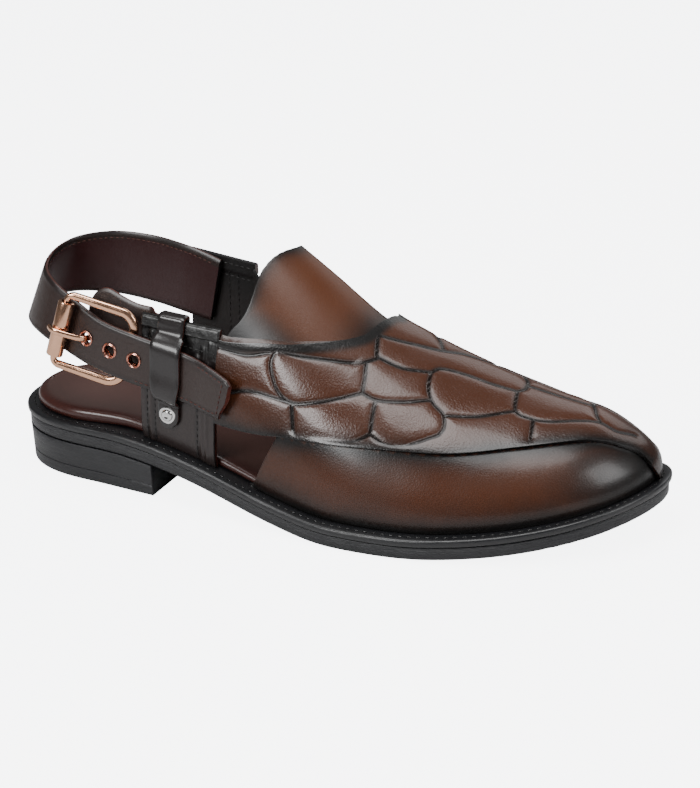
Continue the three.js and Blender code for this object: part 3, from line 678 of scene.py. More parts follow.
def edgeAlong(fromX, toX, turnOf, step=0.4):
    count = int(abs(toX - fromX) / step)
    return [(mix(fromX, toX, i / count), turnOf(mix(fromX, toX, i / count))) for i in range(count + 1)]


def edgeAcross(x, fromTurn, toTurn, step=0.003):
    count = max(int(abs(toTurn - fromTurn) / step), 1)
    return [(x, mix(fromTurn, toTurn, i / count)) for i in range(count + 1)]


def treeOf(points, out):
    tree = kdtree.KDTree(len(points))
    for i, (x, turn) in enumerate(points):
        tree.insert(lastPoint(x, turn, out), i)
    tree.balance()
    return tree


# Slides the points of a cut edge along it, so that they lie evenly, and leaves its corners
def evenRim(rim, place, tree, samples):
    moved = []
    for vert in rim:
        near = [edge.other_vert(vert) for edge in vert.link_edges if edge.is_boundary]
        if len(near) != 2:
            continue
        here = lastPoint(*vert[place][:2], 0)
        before, after = [lastPoint(*other[place][:2], 0) for other in near]
        ahead, back = after - here, here - before
        if min(ahead.length, back.length) > upper["cornerSpan"]:
            if ahead.normalized().dot(back.normalized()) < upper["cornerTurn"]:
                continue
        moved.append((vert, tree.find((before + after) / 2)[1]))
    for vert, i in moved:
        vert[place] = Vector((*samples[i], 0))


# Spreads the points behind a cut edge evenly
def evenInside(rim, place):
    fixed, layer, inside = set(rim), set(rim), []
    for _ in range(upper["rings"]):
        layer = {edge.other_vert(vert) for vert in layer for edge in vert.link_edges} - fixed
        layer = {vert for vert in layer if not vert.is_boundary}
        fixed |= layer
        inside += sorted(layer, key=lambda vert: vert.index)
    for _ in range(upper["rounds"]):
        for vert in inside:
            near = [edge.other_vert(vert)[place] for edge in vert.link_edges]
            vert[place] = sum(near, Vector()) / len(near)


def closeSkin(shape):
    bmesh.ops.remove_doubles(shape, verts=shape.verts, dist=1e-6)
    bmesh.ops.recalc_face_normals(shape, faces=shape.faces)
    if sum(face.normal.z * face.calc_area() for face in shape.faces) < 0:
        bmesh.ops.reverse_faces(shape, faces=shape.faces)


def roll(distance, radius):
    if distance >= radius:
        return 0.0
    return radius - math.sqrt(radius * radius - (radius - distance) ** 2)


cuts = {
    "upperRear": 61.3, "quarterFront": 70.3, "panelFoot": 0.437, "panelTop": 0.489, "panelTopTurn": 0.127,
    "hide": 0.02, "throatEnd": 0.583, "outerSide": 0.45,
}
panelFootX, panelTopX, throatEndX = [xOf(cuts[key]) for key in ("panelFoot", "panelTop", "throatEnd")]


def slantTurn(x):
    return clamp((x - panelFootX) / (panelTopX - panelFootX)) * cuts["panelTopTurn"]


def seamTurnAt(x):
    return seamTurn(alongOf(x))


def inUpper(x, turn):
    if x < throatEndX and throatLateral(alongOf(x)) < turn < throatInner(alongOf(x)):
        return False
    if turn < cuts["outerSide"]:
        if x < cuts["quarterFront"]:
            return False
        if x < panelFootX:
            return turn > seamTurnAt(x) + cuts["hide"]
        if x < panelTopX:
            return turn < slantTurn(x) or turn > seamTurnAt(x) + cuts["hide"]
    return True


seamLine = edgeAlong(cuts["quarterFront"], soleTip - shoe["weltReach"] - 0.5, seamTurnAt, 0.25)
seamTree = treeOf(seamLine, 0)
upperEdges = [
    edgeAlong(cuts["upperRear"], throatEndX, lambda x: throatLateral(alongOf(x))),
    edgeAlong(cuts["upperRear"], throatEndX, lambda x: throatInner(alongOf(x))),
    edgeAcross(throatEndX, throatLateral(cuts["throatEnd"]), throatInner(cuts["throatEnd"])),
    edgeAlong(panelFootX, panelTopX, slantTurn, 0.2),
    edgeAlong(cuts["quarterFront"], panelTopX, lambda x: seamTurnAt(x) + cuts["hide"]),
    edgeAcross(cuts["upperRear"], 0.75, 1.0),
    edgeAcross(cuts["quarterFront"], 0.05, 0.2),
]


# Share of dark colour on the smooth upper: burnish by the overlay seam, at the toe and at cut edges, and
# painted shade near the sole and on the inner side
def upperBurnishAndShade(x, turn, point, distance):
    # Painted shade: darker towards the sole, in the crease where the side meets the welt
    soleShade = 1.05 * math.exp(-max(point.z - soleTop(x), 0) / upper["soleShadeFade"])
    nearSeam = math.exp(-seamTree.find(point)[2] / upper["seamFade"]) if turn < seamTurnAt(x) else 0.25
    toe = 0.85 * smooth((x - upper["toeStart"]) / upper["toeSpan"])
    # Painted shade: the whole inner side is a little darker, as it faces away from the light
    inner = 0.32 if turn > 0.5 else 0.0
    edge = 0.5 * math.exp(-distance / upper["edgeFade"])
    return clamp(max(soleShade, nearSeam, toe, inner, edge))


def upperSkin():
    tip = soleTip - shoe["weltReach"]
    shape = bmesh.new()
    bmesh.ops.create_grid(shape, x_segments=upper["alongSteps"], y_segments=upper["acrossSteps"], size=0.5)
    place = shape.verts.layers.float_vector.new("place")
    for vert in shape.verts:
        x = tip - (tip - cuts["upperRear"]) * (0.5 - vert.co.x) ** upper["rearPower"]
        vert[place] = Vector((x, vert.co.y + 0.5, 0))
    gone = []
    for face in shape.faces:
        centre = sum((vert[place] for vert in face.verts), Vector()) / len(face.verts)
        if not inUpper(centre.x, centre.y):
            gone.append(face)
    bmesh.ops.delete(shape, geom=gone, context="FACES")
    samples = [point for edge in upperEdges for point in edge]
    tree = treeOf(samples, 0)
    rim = []
    for vert in shape.verts:
        if vert.is_boundary:
            _, i, distance = tree.find(lastPoint(*vert[place][:2], 0))
            if distance < upper["snap"]:
                vert[place] = Vector((*samples[i], 0))
                rim.append(vert)
    for _ in range(3):
        evenRim(rim, place, tree, samples)
    evenInside(rim, place)
    burnishAndShade = shape.verts.layers.float.new("burnishAndShade")
    for vert in shape.verts:
        x, turn, _ = vert[place]
        point = lastPoint(x, turn, 0)
        vert.co = point * mm
        vert[burnishAndShade] = upperBurnishAndShade(x, turn, point, tree.find(point)[2])
    closeSkin(shape)
    return shape


def addWall(piece, thick):
    modifier = piece.modifiers.new("Wall", "SOLIDIFY")
    modifier.thickness = thick * mm
    modifier.offset = -1
    modifier.use_rim = True
    modifier.material_offset = 1
    modifier.material_offset_rim = 2


def makeUpper():
    piece = finishPiece(upperSkin(), "smoothVamp", ["vampLeather", "darkLining", "blackEdge"], ["upper"], 180)
    addWall(piece, shoe["upperWall"])
    addBevel(piece, 0.5, 3, 50)


makeUpper()
print("stage: smooth upper")

# Embossed front: plate borders as lines of (x, turn)
croc = {
    "rearSteps": 96, "frontSteps": 190, "outerSteps": 92, "innerSteps": 84, "innerStart": 0.466,
    "join": 0.584, "joinSoft": 6.0, "tipPower": 1.6, "throatHide": 0.01, "turnScale": 100, "lineStep": 0.25,
    "valley": 0.42, "valleyWide": 1.15, "dome": 0.34, "domeReach": 3.4, "fadeStart": 0.6, "fadeSpan": 3.5,
    "soleShadeFade": 10.0, "seamFade": 5.5, "edgeFade": 2.0, "lineFade": 1.3, "rearDark": 96, "toeDark": 214,
    "lines": [
        [(70, 0.17), (84, 0.19), (94, 0.22)],
        [(96, 0.23), (106, 0.25), (116, 0.28), (130, 0.33), (134, 0.355)],
        [(130, 0.41), (132, 0.38), (134, 0.355)],
        [(130, 0.41), (143, 0.44), (154, 0.47), (172, 0.56)],
        [(134, 0.36), (145, 0.365), (155, 0.39)],
        [(155, 0.39), (157, 0.41), (166, 0.43), (179, 0.44), (188, 0.45)],
        [(96, 0.23), (95, 0.205), (98, 0.18), (101, 0.17), (107, 0.17), (117, 0.2), (127, 0.24), (134, 0.27)],
        [(131, 0.335), (133, 0.3), (134, 0.27)],
        [(134, 0.27), (140, 0.27), (150, 0.29), (159, 0.32)],
        [(155, 0.39), (157, 0.35), (161, 0.32), (167, 0.3), (169, 0.27), (168, 0.25)],
        [(70, 0.1), (86, 0.14), (100, 0.16), (107, 0.17)],
        [(107, 0.17), (108, 0.15), (110, 0.125), (125, 0.15), (135, 0.17), (138, 0.18), (142, 0.2)],
        [(140, 0.27), (141, 0.23), (142, 0.2)],
        [(142, 0.2), (149, 0.19), (156, 0.2), (168, 0.25)],
        [(167, 0.3), (180, 0.33), (192, 0.38)],
        [(188, 0.45), (190, 0.47), (189, 0.51), (185, 0.58)],
        [(188, 0.45), (192, 0.38), (199, 0.37), (207, 0.38), (216, 0.41), (225, 0.44), (232, 0.44),
         (238, 0.49)],
        [(200, 0.37), (202, 0.32), (203, 0.29)],
        [(225, 0.44), (222, 0.47), (218, 0.54)],
        [(190, 0.49), (203, 0.51), (218, 0.54)],
        [(119, 0.81), (129, 0.76), (136, 0.71), (138, 0.67), (147, 0.59)],
        [(136, 0.71), (150, 0.74), (164, 0.77)],
        [(164, 0.77), (164, 0.81), (160, 0.85), (153, 0.88), (146, 0.91), (139, 0.93)],
        [(117, 0.84), (128, 0.88), (139, 0.93)],
        [(147, 0.59), (160, 0.61), (173, 0.63)],
        [(147, 0.59), (149, 0.52), (154, 0.47)],
        [(164, 0.77), (170, 0.73), (174, 0.68), (173, 0.63)],
        [(173, 0.63), (172, 0.56)],
        [(172, 0.56), (185, 0.58)],
        [(185, 0.58), (198, 0.6), (210, 0.64)],
        [(175, 0.67), (186, 0.72), (197, 0.78)],
        [(210, 0.64), (204, 0.7), (198, 0.78), (200, 0.85), (194, 0.91), (186, 0.93), (181, 0.97)],
        [(210, 0.64), (216, 0.6), (218, 0.54)],
        [(162, 0.85), (171, 0.89), (181, 0.97)],
        [(200, 0.86), (208, 0.92), (216, 0.98)],
        [(210, 0.65), (222, 0.78), (234, 0.95)],
        [(218, 0.59), (230, 0.63), (242, 0.68)],
        [(193, 0.92), (200, 0.99)],
        [(140, 0.93), (151, 0.96), (158, 0.99)],
    ],
}


# The plate borders as points on the last
def crocTree():
    scale = croc["turnScale"]
    samples = []
    for line in croc["lines"]:
        flat = [(x, turn * scale) for x, turn in line]
        path = Path([(*point, 0) for point in flat])
        length = sum(math.dist(a, b) for a, b in zip(flat, flat[1:]))
        steps = max(int(length / croc["lineStep"]), 2)
        samples += [path.at(i / steps) for i in range(steps + 1)]
    tree = kdtree.KDTree(len(samples))
    for i, sample in enumerate(samples):
        tree.insert(lastPoint(sample.x, clamp(sample.y / scale), shoe["seam"]), i)
    tree.balance()
    return tree


plateTree = crocTree()


def plateDistance(x, turn):
    return plateTree.find(lastPoint(x, clamp(turn), shoe["seam"]))[2]


def bell(distance, wide):
    return math.exp(-((distance / wide) ** 2))


# Troughs between the plates; the fine cord along them is in the material
def crocRelief(distance):
    valley = croc["valley"] * bell(distance, croc["valleyWide"])
    return -valley - croc["dome"] * bell(distance, croc["domeReach"])


joinX = xOf(croc["join"])


# The two edges that part at the end of the throat and meet on the ridge in front of it
def outerTopTurn(x):
    beside = throatLateral(alongOf(x)) - croc["throatHide"]
    return mix(beside, 0.5, smooth(1 + (x - joinX) / croc["joinSoft"]))


def innerTopTurn(x):
    return clamp(innerEdgeTurn(alongOf(x)), 0.5, 1) if x < joinX else 0.5


overlayEdges = [
    edgeAlong(cuts["quarterFront"], joinX, outerTopTurn, 0.1),
    edgeAlong(xOf(croc["innerStart"]), joinX, innerTopTurn, 0.05),
    edgeAlong(cuts["quarterFront"], soleTip - shoe["weltReach"] + 1, seamTurnAt, 0.1),
]
overlayTree = treeOf([point for edge in overlayEdges for point in edge], shoe["seam"])
topLineTree = treeOf(overlayEdges[0], shoe["seam"])


# Share of dark colour on the embossed front: burnish by the seam, the throat edge, cut edges, plate borders,
# toe and rear, and painted shade near the sole on the inner side
def crocBurnishAndShade(x, turn):
    point = lastPoint(x, turn, 0)
    footing = max(point.z - soleTop(x), 0)
    # Painted shade: darker towards the sole on the inner side
    soleShade = math.exp(-footing / croc["soleShadeFade"]) if turn > 0.5 else 0.0
    seamDark = 0.95 * math.exp(-seamTree.find(point)[2] / croc["seamFade"])
    topLine = 0.95 * smooth(1.3 - topLineTree.find(point)[2] / croc["seamFade"])
    edge = 0.6 * math.exp(-overlayTree.find(point)[2] / croc["edgeFade"])
    lines = 0.85 * bell(plateDistance(x, turn), croc["lineFade"])
    rear = smooth((croc["rearDark"] - x) / 30) * 0.35
    toe = smooth((x - croc["toeDark"]) / 34) * 0.6
    return clamp(max(soleShade, seamDark, topLine, edge, lines, toe, rear))


# Two grids, one on each side of the throat, that meet at turn 0.5 ahead of it
def makeOverlay():
    outer = shoe["seam"] + shoe["overlayThick"]
    tip = soleTip - shoe["weltReach"] + outer
    rearSteps, frontSteps = croc["rearSteps"], croc["frontSteps"]
    steps = rearSteps + frontSteps
    shape = bmesh.new()
    place = shape.verts.layers.float_vector.new("place")
    burnishAndShade = shape.verts.layers.float.new("burnishAndShade")
    groove = shape.verts.layers.float.new("groove")
    outerStrip = (cuts["quarterFront"], croc["outerSteps"], seamTurnAt, outerTopTurn)
    innerStrip = (xOf(croc["innerStart"]), croc["innerSteps"], innerTopTurn, lambda x: 1.0)
    for start, acrossSteps, lowTurn, highTurn in (outerStrip, innerStrip):
        made = bmesh.ops.create_grid(shape, x_segments=steps, y_segments=acrossSteps, size=0.5)["verts"]
        for vert in made:
            row = round((vert.co.x + 0.5) * steps)
            x = mix(start, joinX, row / rearSteps)
            if row > rearSteps:
                x = tip - (tip - joinX) * (1 - (row - rearSteps) / frontSteps) ** croc["tipPower"]
            vert[place] = Vector((x, mix(lowTurn(x), highTurn(x), vert.co.y + 0.5), 0))
    for vert in shape.verts:
        x, turn, _ = vert[place]
        toEdge = overlayTree.find(lastPoint(x, turn, shoe["seam"]))[2]
        fade = smooth((toEdge - croc["fadeStart"]) / croc["fadeSpan"])
        vert.co = lastPoint(x, turn, outer + crocRelief(plateDistance(x, turn)) * fade) * mm
        vert[burnishAndShade] = crocBurnishAndShade(x, turn)
        vert[groove] = plateDistance(x, turn) + 2 * (1 - fade)
    closeSkin(shape)
    rim = [edge for edge in shape.edges if edge.is_boundary]
    for drop in (0.5, 1.0):
        grown = bmesh.ops.extrude_edge_only(shape, edges=rim)["geom"]
        for vert in (item for item in grown if isinstance(item, bmesh.types.BMVert)):
            vert.co = lastPoint(*vert[place][:2], mix(outer, shoe["seam"] + 0.05, drop)) * mm
        rim = [item for item in grown if isinstance(item, bmesh.types.BMEdge)]
    closeSkin(shape)
    piece = finishPiece(shape, "crocOverlay", ["crocLeather"], ["overlay"], 180)
    addBevel(piece, 0.45, 3, 55)


makeOverlay()
print("stage: embossed front")

# Tongue: one shield of smooth leather rising out of the throat
tongue = {
    "alongSteps": 90, "acrossSteps": 110, "edge": 0.8, "rearSamples": 300, "rootPower": 1.3,
    "edgeFade": 5.0, "frontShadeStart": 108, "frontSpan": 22,
}


def makeTongue():
    under = -shoe["upperWall"] - shoe["tongueGap"]
    low, high = tongueEdge["turn"][0], tongueEdge["turn"][-1]
    count = tongue["rearSamples"]
    turns = [mix(low, high, i / count) for i in range(count + 1)]
    rearTree = treeOf([(xOf(tongueRear(turn)), turn) for turn in turns], under)
    edgeCache = {}

    def flat(u, v):
        turn = mix(low, high, v)
        return mix(xOf(tongueRear(turn)), xOf(tongueEdge["root"]), u ** tongue["rootPower"]), turn

    def edgeDistance(u, v):
        key = (round(u, 5), round(v, 5))
        if key not in edgeCache:
            edgeCache[key] = rearTree.find(lastPoint(*flat(u, v), under))[2]
        return edgeCache[key]

    def spot(u, v, w):
        x, turn = flat(u, v)
        inward = roll(edgeDistance(u, v), tongue["edge"])
        out = under - (1 - w) * shoe["tongueThick"] + (inward if w < 0.5 else -inward)
        return lastPoint(x, turn, out)

    def burnishAndShade(u, v, w):
        x, turn = flat(u, v)
        edge = math.exp(-edgeDistance(u, v) / tongue["edgeFade"])
        # Painted shade: darker along the sides and towards the front, where the tongue goes under the vamp's
        # throat edges; the rear edge term is burnish
        sideShade = smooth((0.33 - turn) / 0.12) + smooth((turn - 0.7) / 0.1)
        front = smooth((x - tongue["frontShadeStart"]) / tongue["frontSpan"]) * 0.8
        return clamp(max(edge, sideShade * 0.9, front))

    lining = lambda u0, u1, v0, v1, w0, w1: 1 if w1 < 0.01 else 0
    shape = block(tongue["alongSteps"], tongue["acrossSteps"], 2, spot, {"burnishAndShade": burnishAndShade}, lining)
    piece = finishPiece(shape, "tongueShield", ["tongueLeather", "darkLining"], ["tongue"], 60)


makeTongue()
print("stage: tongue")

# Side strips: double seams, cords under the leather and a folded top band
quarters = {
    "steps": 70, "rows": 90,
    "lateral": {
        "side": -1, "rear": 32.5, "front": 70.0, "top": 80.4, "slope": 0.055, "topFrom": 32.5,
        "cords": [("rear", 5.4, 0.9, 0.55), ("front", 4.2, 0.8, 0.6), ("front", 6.4, 0.8, 0.5)],
        "seams": [("rear", 3.4), ("rear", 7.4), ("front", 8.9)],
    },
    "inner": {
        "side": 1, "rear": 28.0, "front": 61.0, "top": 92.0, "slope": 0.09, "topFrom": 28.0, "innerFold": 0.7,
        "cords": [("rear", 4.4, 0.9, 0.5), ("front", 4.2, 0.9, 0.5)],
        "seams": [("rear", 2.6), ("rear", 6.4), ("front", 2.6), ("front", 6.4)],
    },
    "bandHeight": 5.0, "bandStep": 1.0, "crinkleDepth": 17.0, "seamDeep": 0.22, "seamWide": 0.5,
    "topRound": 0.9, "endRound": 0.7, "shadeWide": 1.2,
    "folds": [(3.5, 0.5, 1.5, 0.5), (9.5, -0.35, 1.2, 0.45), (23.0, 0.4, 1.6, 0.5), (27.5, -0.5, 1.2, 0.4),
              (32.5, 0.3, 1.4, 0.5)],
}


def quarterX(which, u):
    return mix(which["rear"], which["front"], u)


def quarterTop(which, x):
    return which["top"] - which["slope"] * (x - which["topFrom"])


def quarterPoint(x, height, side, out):
    top = ridgeHeight(alongOf(x)) * shoe["instepHeight"]
    angle = math.asin(clamp(height / top, 0, 0.98) ** (shoe["heightFullness"] / 2))
    turn = angle / math.pi if side < 0 else 1 - angle / math.pi
    flare = shoe["innerFlare"] * height / shoe["instepHeight"] if side > 0 else 0
    return Vector((x, lastPoint(x, turn, out).y + flare, soleTop(x) + max(height, shoe["seam"])))


def quarterSpot(which, u, v, out):
    x = quarterX(which, u)
    height = v * (quarterTop(which, x) - soleTop(x))
    return quarterPoint(x, height, which["side"], out)


# Distance down from the top edge
def quarterDown(which, u, v):
    x = quarterX(which, u)
    return (1 - v) * (quarterTop(which, x) - soleTop(x))


# Distance in from the rear or the front edge
def fromEnd(which, end, x):
    return x - which["rear"] if end == "rear" else which["front"] - x


def quarterRelief(which, u, v):
    x, down = quarterX(which, u), quarterDown(which, u, v)
    height, depth = quarters["bandHeight"], quarters["crinkleDepth"]
    relief = 0.0
    for end, at, wide, tall in which["cords"]:
        relief += tall * bell(fromEnd(which, end, x) - at, wide)
    for end, at in which["seams"]:
        relief -= quarters["seamDeep"] * bell(fromEnd(which, end, x) - at, quarters["seamWide"])
    inBand = smooth((down - height) / 2) * smooth((depth - 1 - down) / 3)
    for at, slope, wide, deep in quarters["folds"]:
        away = (x - which["rear"]) - at - slope * (down - 10)
        relief -= deep * inBand * bell(away, wide)
    relief *= smooth((down - height) / 1.5)
    band = quarters["bandStep"] * smooth((height + 0.3 - down) / 0.8)
    return relief + band - roll(down, quarters["topRound"])


def makeQuarter(which, name, node):
    def toEnd(u):
        return min(u, 1 - u) * (which["front"] - which["rear"])

    def spot(u, v, w):
        down = (1 - v) * (quarterTop(which, quarterX(which, u)) - soleTop(which["rear"]))
        fold = which.get("innerFold", 0) * smooth((quarters["bandHeight"] + 1.3 - down) / 0.8)
        outer = quarterRelief(which, u, v) - roll(toEnd(u), quarters["endRound"])
        return quarterSpot(which, u, v, mix(-shoe["quarterThick"] - fold, outer, w))

    def burnishAndShade(u, v, w):
        x, wide = quarterX(which, u), quarters["shadeWide"]
        seams = sum(0.5 * bell(fromEnd(which, end, x) - at, wide) for end, at in which["seams"])
        top = smooth(1.35 - quarterDown(which, u, v) / quarters["crinkleDepth"])
        return clamp(max(top, 0.6 * math.exp(-toEnd(u) / wide), seams))

    def crinkle(u, v, w):
        return smooth((quarters["crinkleDepth"] - quarterDown(which, u, v)) / 4.0) if w > 0.5 else 0.0

    def slots(u0, u1, v0, v1, w0, w1):
        if w1 < 0.01:
            return 1
        return 2 if u1 < 1e-4 or u0 > 1 - 1e-4 else 0

    shape = block(quarters["steps"], quarters["rows"], 2, spot, {"burnishAndShade": burnishAndShade, "crinkle": crinkle}, slots)
    piece = finishPiece(shape, name, ["quarterLeather", "darkLining", "edgePaint"], [node], 50)


makeQuarter(quarters["lateral"], "outerQuarter", "lateral_quarter")
makeQuarter(quarters["inner"], "innerQuarter", "medial_quarter")
print("stage: quarters")

# Back strap: shares of the sole length, ball width, instep height and strap height
strap = {
    "rows": [
        (0.275, 0.231, 1.12, 1.1, 0), (0.225, 0.238, 1.165, 1.17, 0), (0.16, 0.262, 1.19, 1.17, 0.02),
        (0.095, 0.243, 1.205, 1.14, 0.12), (0.044, 0.15, 1.205, 1.08, 0.28),
        (0.028, 0.01, 1.19, 1.04, 0.38), (0.041, -0.13, 1.155, 0.95, 0.36),
        (0.08, -0.232, 1.125, 0.87, 0.33), (0.125, -0.272, 1.06, 0.82, 0.24),
        (0.175, -0.298, 0.98, 0.79, 0.15), (0.235, -0.309, 0.925, 0.79, 0.12),
        (0.29, -0.309, 0.88, 0.78, 0.12), (0.335, -0.32, 0.845, 0.76, 0.12),
        (0.365, -0.345, 0.82, 0.74, 0.11), (0.403, -0.378, 0.785, 0.66, 0.1),
    ],
    "steps": 300, "acrossSteps": 26, "edge": 0.7, "hem": 3.0, "hemWide": 0.45, "hemDeep": 0.22,
    "endCut": 0.012, "endTrim": 0.14, "endSkew": 2.6, "polishWide": 2.0,
    "eyeletBore": 2.5, "eyeletFlange": 3.6, "eyeletHole": 3.1, "firstEyelet": 8.0, "eyeletSpacing": 12.0,
}
strapPath = Path([(xOf(along), centre * shoe["ballWidth"], height * shoe["instepHeight"])
                  for along, centre, height, _, _ in strap["rows"]])
strapKeys = [i / (len(strap["rows"]) - 1) for i in range(len(strap["rows"]))]
strapTall = curveOf(strapKeys, [row[3] for row in strap["rows"]])
strapLean = curveOf(strapKeys, [row[4] for row in strap["rows"]])


def strapHalf(t):
    return strapTall(t) * shoe["strapHeight"] / 2


def strapFrame(t):
    ahead = strapPath.ahead(t)
    outward = Vector((ahead.y, -ahead.x, 0)).normalized()
    upward = (outward.cross(ahead) - outward * strapLean(t)).normalized()
    return strapPath.at(t), outward, upward


def strapAt(x):
    low, high = 0.5, 1.0
    for _ in range(40):
        middle = (low + high) / 2
        if strapPath.at(middle).x < x:
            low = middle
        else:
            high = middle
    return (low + high) / 2


def strapSurface(t, across, out):
    centre, outward, upward = strapFrame(t)
    return centre + upward * across + outward * out


eyeletPlaces = [strapAt(strap["firstEyelet"] + i * strap["eyeletSpacing"]) for i in range(3)]


# Moves a shape from the origin to centre and points its Z along axis
def facing(centre, axis):
    return Matrix.Translation(centre * mm) @ axis.to_track_quat("Z", "Y").to_matrix().to_4x4()


def onRim(u1, v0, v1):
    return u1 < 1e-4 or v1 < 1e-4 or v0 > 1 - 1e-4


def makeStrap():
    frames = {}

    def frameAt(u):
        key = round(u, 6)
        if key not in frames:
            frames[key] = (*strapFrame(u), strapHalf(u))
        return frames[key]

    def spot(u, v, w):
        centre, outward, upward, half = frameAt(u)
        side = 2 * v - 1
        fromEdge = (1 - abs(side)) * half
        endLeft = clamp((1 - u) / strap["endCut"])
        trim = half * (1 - strap["endTrim"] * (1 - endLeft))
        thick = shoe["strapThick"] / 2 - roll(fromEdge, strap["edge"])
        hem = strap["hemDeep"] * bell(fromEdge - strap["hem"], strap["hemWide"])
        out = mix(-thick, thick, w) + (hem if w < 0.5 else -hem * 0.5)
        skew = -strap["endSkew"] * (1 - endLeft) * max(-side, 0)
        return centre + upward * side * trim + outward * out + strapPath.ahead(u) * skew

    def burnishAndShade(u, v, w):
        fromEdge = (1 - abs(2 * v - 1)) * frameAt(u)[3]
        return clamp(0.75 * bell(fromEdge, strap["polishWide"]) + 0.12)

    def slots(u0, u1, v0, v1, w0, w1):
        if u1 < 1e-4:
            return 3
        if onRim(u1, v0, v1) or u0 > 1 - 1e-4:
            return 2
        if w1 < 0.01:
            inHem = (1 - abs(v0 + v1 - 1)) * frameAt(u0)[3] < strap["hem"]
            return 0 if inHem and v0 > 0.5 else 1
        return 0

    shape = block(strap["steps"], strap["acrossSteps"], 2, spot, {"burnishAndShade": burnishAndShade}, slots)
    piece = finishPiece(shape, "heelStrap", ["strapLeather", "strapLining", "edgePaint", "blackEdge"],
                        ["back_strap"], 50)
    boreHoles(piece)


def boreHoles(piece):
    radius = strap["eyeletHole"] * mm
    holes = bmesh.new()
    for t in eyeletPlaces:
        centre, outward, _ = strapFrame(t)
        bmesh.ops.create_cone(holes, cap_ends=True, segments=40, radius1=radius, radius2=radius,
                              depth=12 * mm, matrix=facing(centre, outward))
    cutter = bpy.data.objects.new("eyeletHoles", bpy.data.meshes.new("eyeletHoles"))
    holes.to_mesh(cutter.data)
    holes.free()
    bpy.context.scene.collection.objects.link(cutter)
    bore = piece.modifiers.new("Eyelet holes", "BOOLEAN")
    bore.object = cutter
    bore.solver = "EXACT"
    bpy.context.view_layer.objects.active = piece
    with bpy.context.temp_override(object=piece, active_object=piece):
        bpy.ops.object.modifier_apply(modifier=bore.name)
    bpy.data.objects.remove(cutter)


makeStrap()
print("stage: strap")

# Buckle: rounded frame, folded roller and prong, in the frame of the solids
buckle = {
    "length": 35.0, "height": 36.0, "depth": 3.2, "bar": 4.2, "corner": 7.0, "lean": 0.16,
    "rollerX": -2.0, "rollerBar": 2.8, "rollerCorner": 2.6, "rollerRadius": 3.6, "rollerLength": 25.0,
    "rollerBore": 2.25, "rollerEdge": 0.5, "slack": 0.35, "barSlack": 1.5,
    "prongWide": 3.2, "prongThick": 1.7, "prongTaper": 0.72, "prongSteps": 60,
}


def buckleMatrix():
    outside = shoe["strapThick"] / 2 + shoe["seam"]
    barX = buckle["rollerX"] + buckle["length"] - (buckle["bar"] + buckle["rollerBar"]) / 2
    centre, outward, _ = strapFrame(strapAt(buckle["rollerX"]))
    rollerCentre = centre + outward * (outside + buckle["rollerRadius"] + buckle["slack"])
    centre, outward, _ = strapFrame(strapAt(barX))
    barCentre = centre - outward * (outside + buckle["depth"] / 2 + buckle["barSlack"])
    along = (barCentre - rollerCentre).normalized()
    out = Vector((0, -1, 0)) + along * along.y
    out.z += buckle["lean"]
    out = (out - along * out.dot(along)).normalized()
    up = out.cross(along).normalized()
    matrix = Matrix((along, up, out)).transposed().to_4x4()
    matrix.translation = rollerCentre
    return matrix, barCentre


buckleFrame, barCentre = buckleMatrix()


# A section carried along points, each with its own side and out directions
def sweep(points, section, closedLoop):
    shape = bmesh.new()
    rings = []
    count = len(points)
    for i, (point, side, out) in enumerate(points):
        corners = section(i / (count - 1))
        rings.append([shape.verts.new((point + side * a + out * b) * mm) for a, b in corners])
    edgesOf = []
    for ring in rings:
        edgesOf.append([shape.edges.new((ring[j], ring[(j + 1) % len(ring)])) for j in range(len(ring))])
    pairs = list(zip(edgesOf, edgesOf[1:]))
    if closedLoop:
        pairs.append((edgesOf[-1], edgesOf[0]))
    for a, b in pairs:
        bmesh.ops.bridge_loops(shape, edges=a + b)
    if not closedLoop:
        for ring in (edgesOf[0], edgesOf[-1]):
            bmesh.ops.edgeloop_fill(shape, edges=ring)
    bmesh.ops.recalc_face_normals(shape, faces=shape.faces)
    return shape


def ovalSection(wide, tall, power=2.6, count=16):
    corners = []
    for i in range(count):
        angle = 2 * math.pi * i / count
        c, s = math.cos(angle), math.sin(angle)
        corners.append((math.copysign(abs(c) ** (2 / power), c) * wide / 2,
                        math.copysign(abs(s) ** (2 / power), s) * tall / 2))
    return corners


def makeBuckleFrame():
    right = buckle["length"] - buckle["rollerBar"] / 2 - buckle["bar"] / 2
    top = buckle["height"] / 2 - buckle["bar"] / 2
    big, small = buckle["corner"], buckle["rollerCorner"]
    corners = [(right - big, -top + big, big, -90), (right - big, top - big, big, 0),
               (small, top - small, small, 90), (small, -top + small, small, 180)]
    turned = buckleFrame.to_3x3()
    points, flats = [], []
    for x, y, radius, start in corners:
        for j in range(9):
            angle = math.radians(start + 90 * j / 8)
            flat = Vector((x + radius * math.cos(angle), y + radius * math.sin(angle), 0))
            side = turned @ Vector((math.cos(angle), math.sin(angle), 0))
            points.append((buckleFrame @ flat, side, turned @ Vector((0, 0, 1))))
            flats.append(flat)

    # The frame is thinner where the roller turns on it
    def section(share):
        x = flats[round(share * (len(flats) - 1))].x
        wide = mix(buckle["rollerBar"], buckle["bar"], smooth((x - 0.5) / 5))
        return ovalSection(wide, buckle["depth"])

    piece = finishPiece(sweep(points, section, True), "buckleFrame", ["roseGold"], ["buckle_frame"], 60)


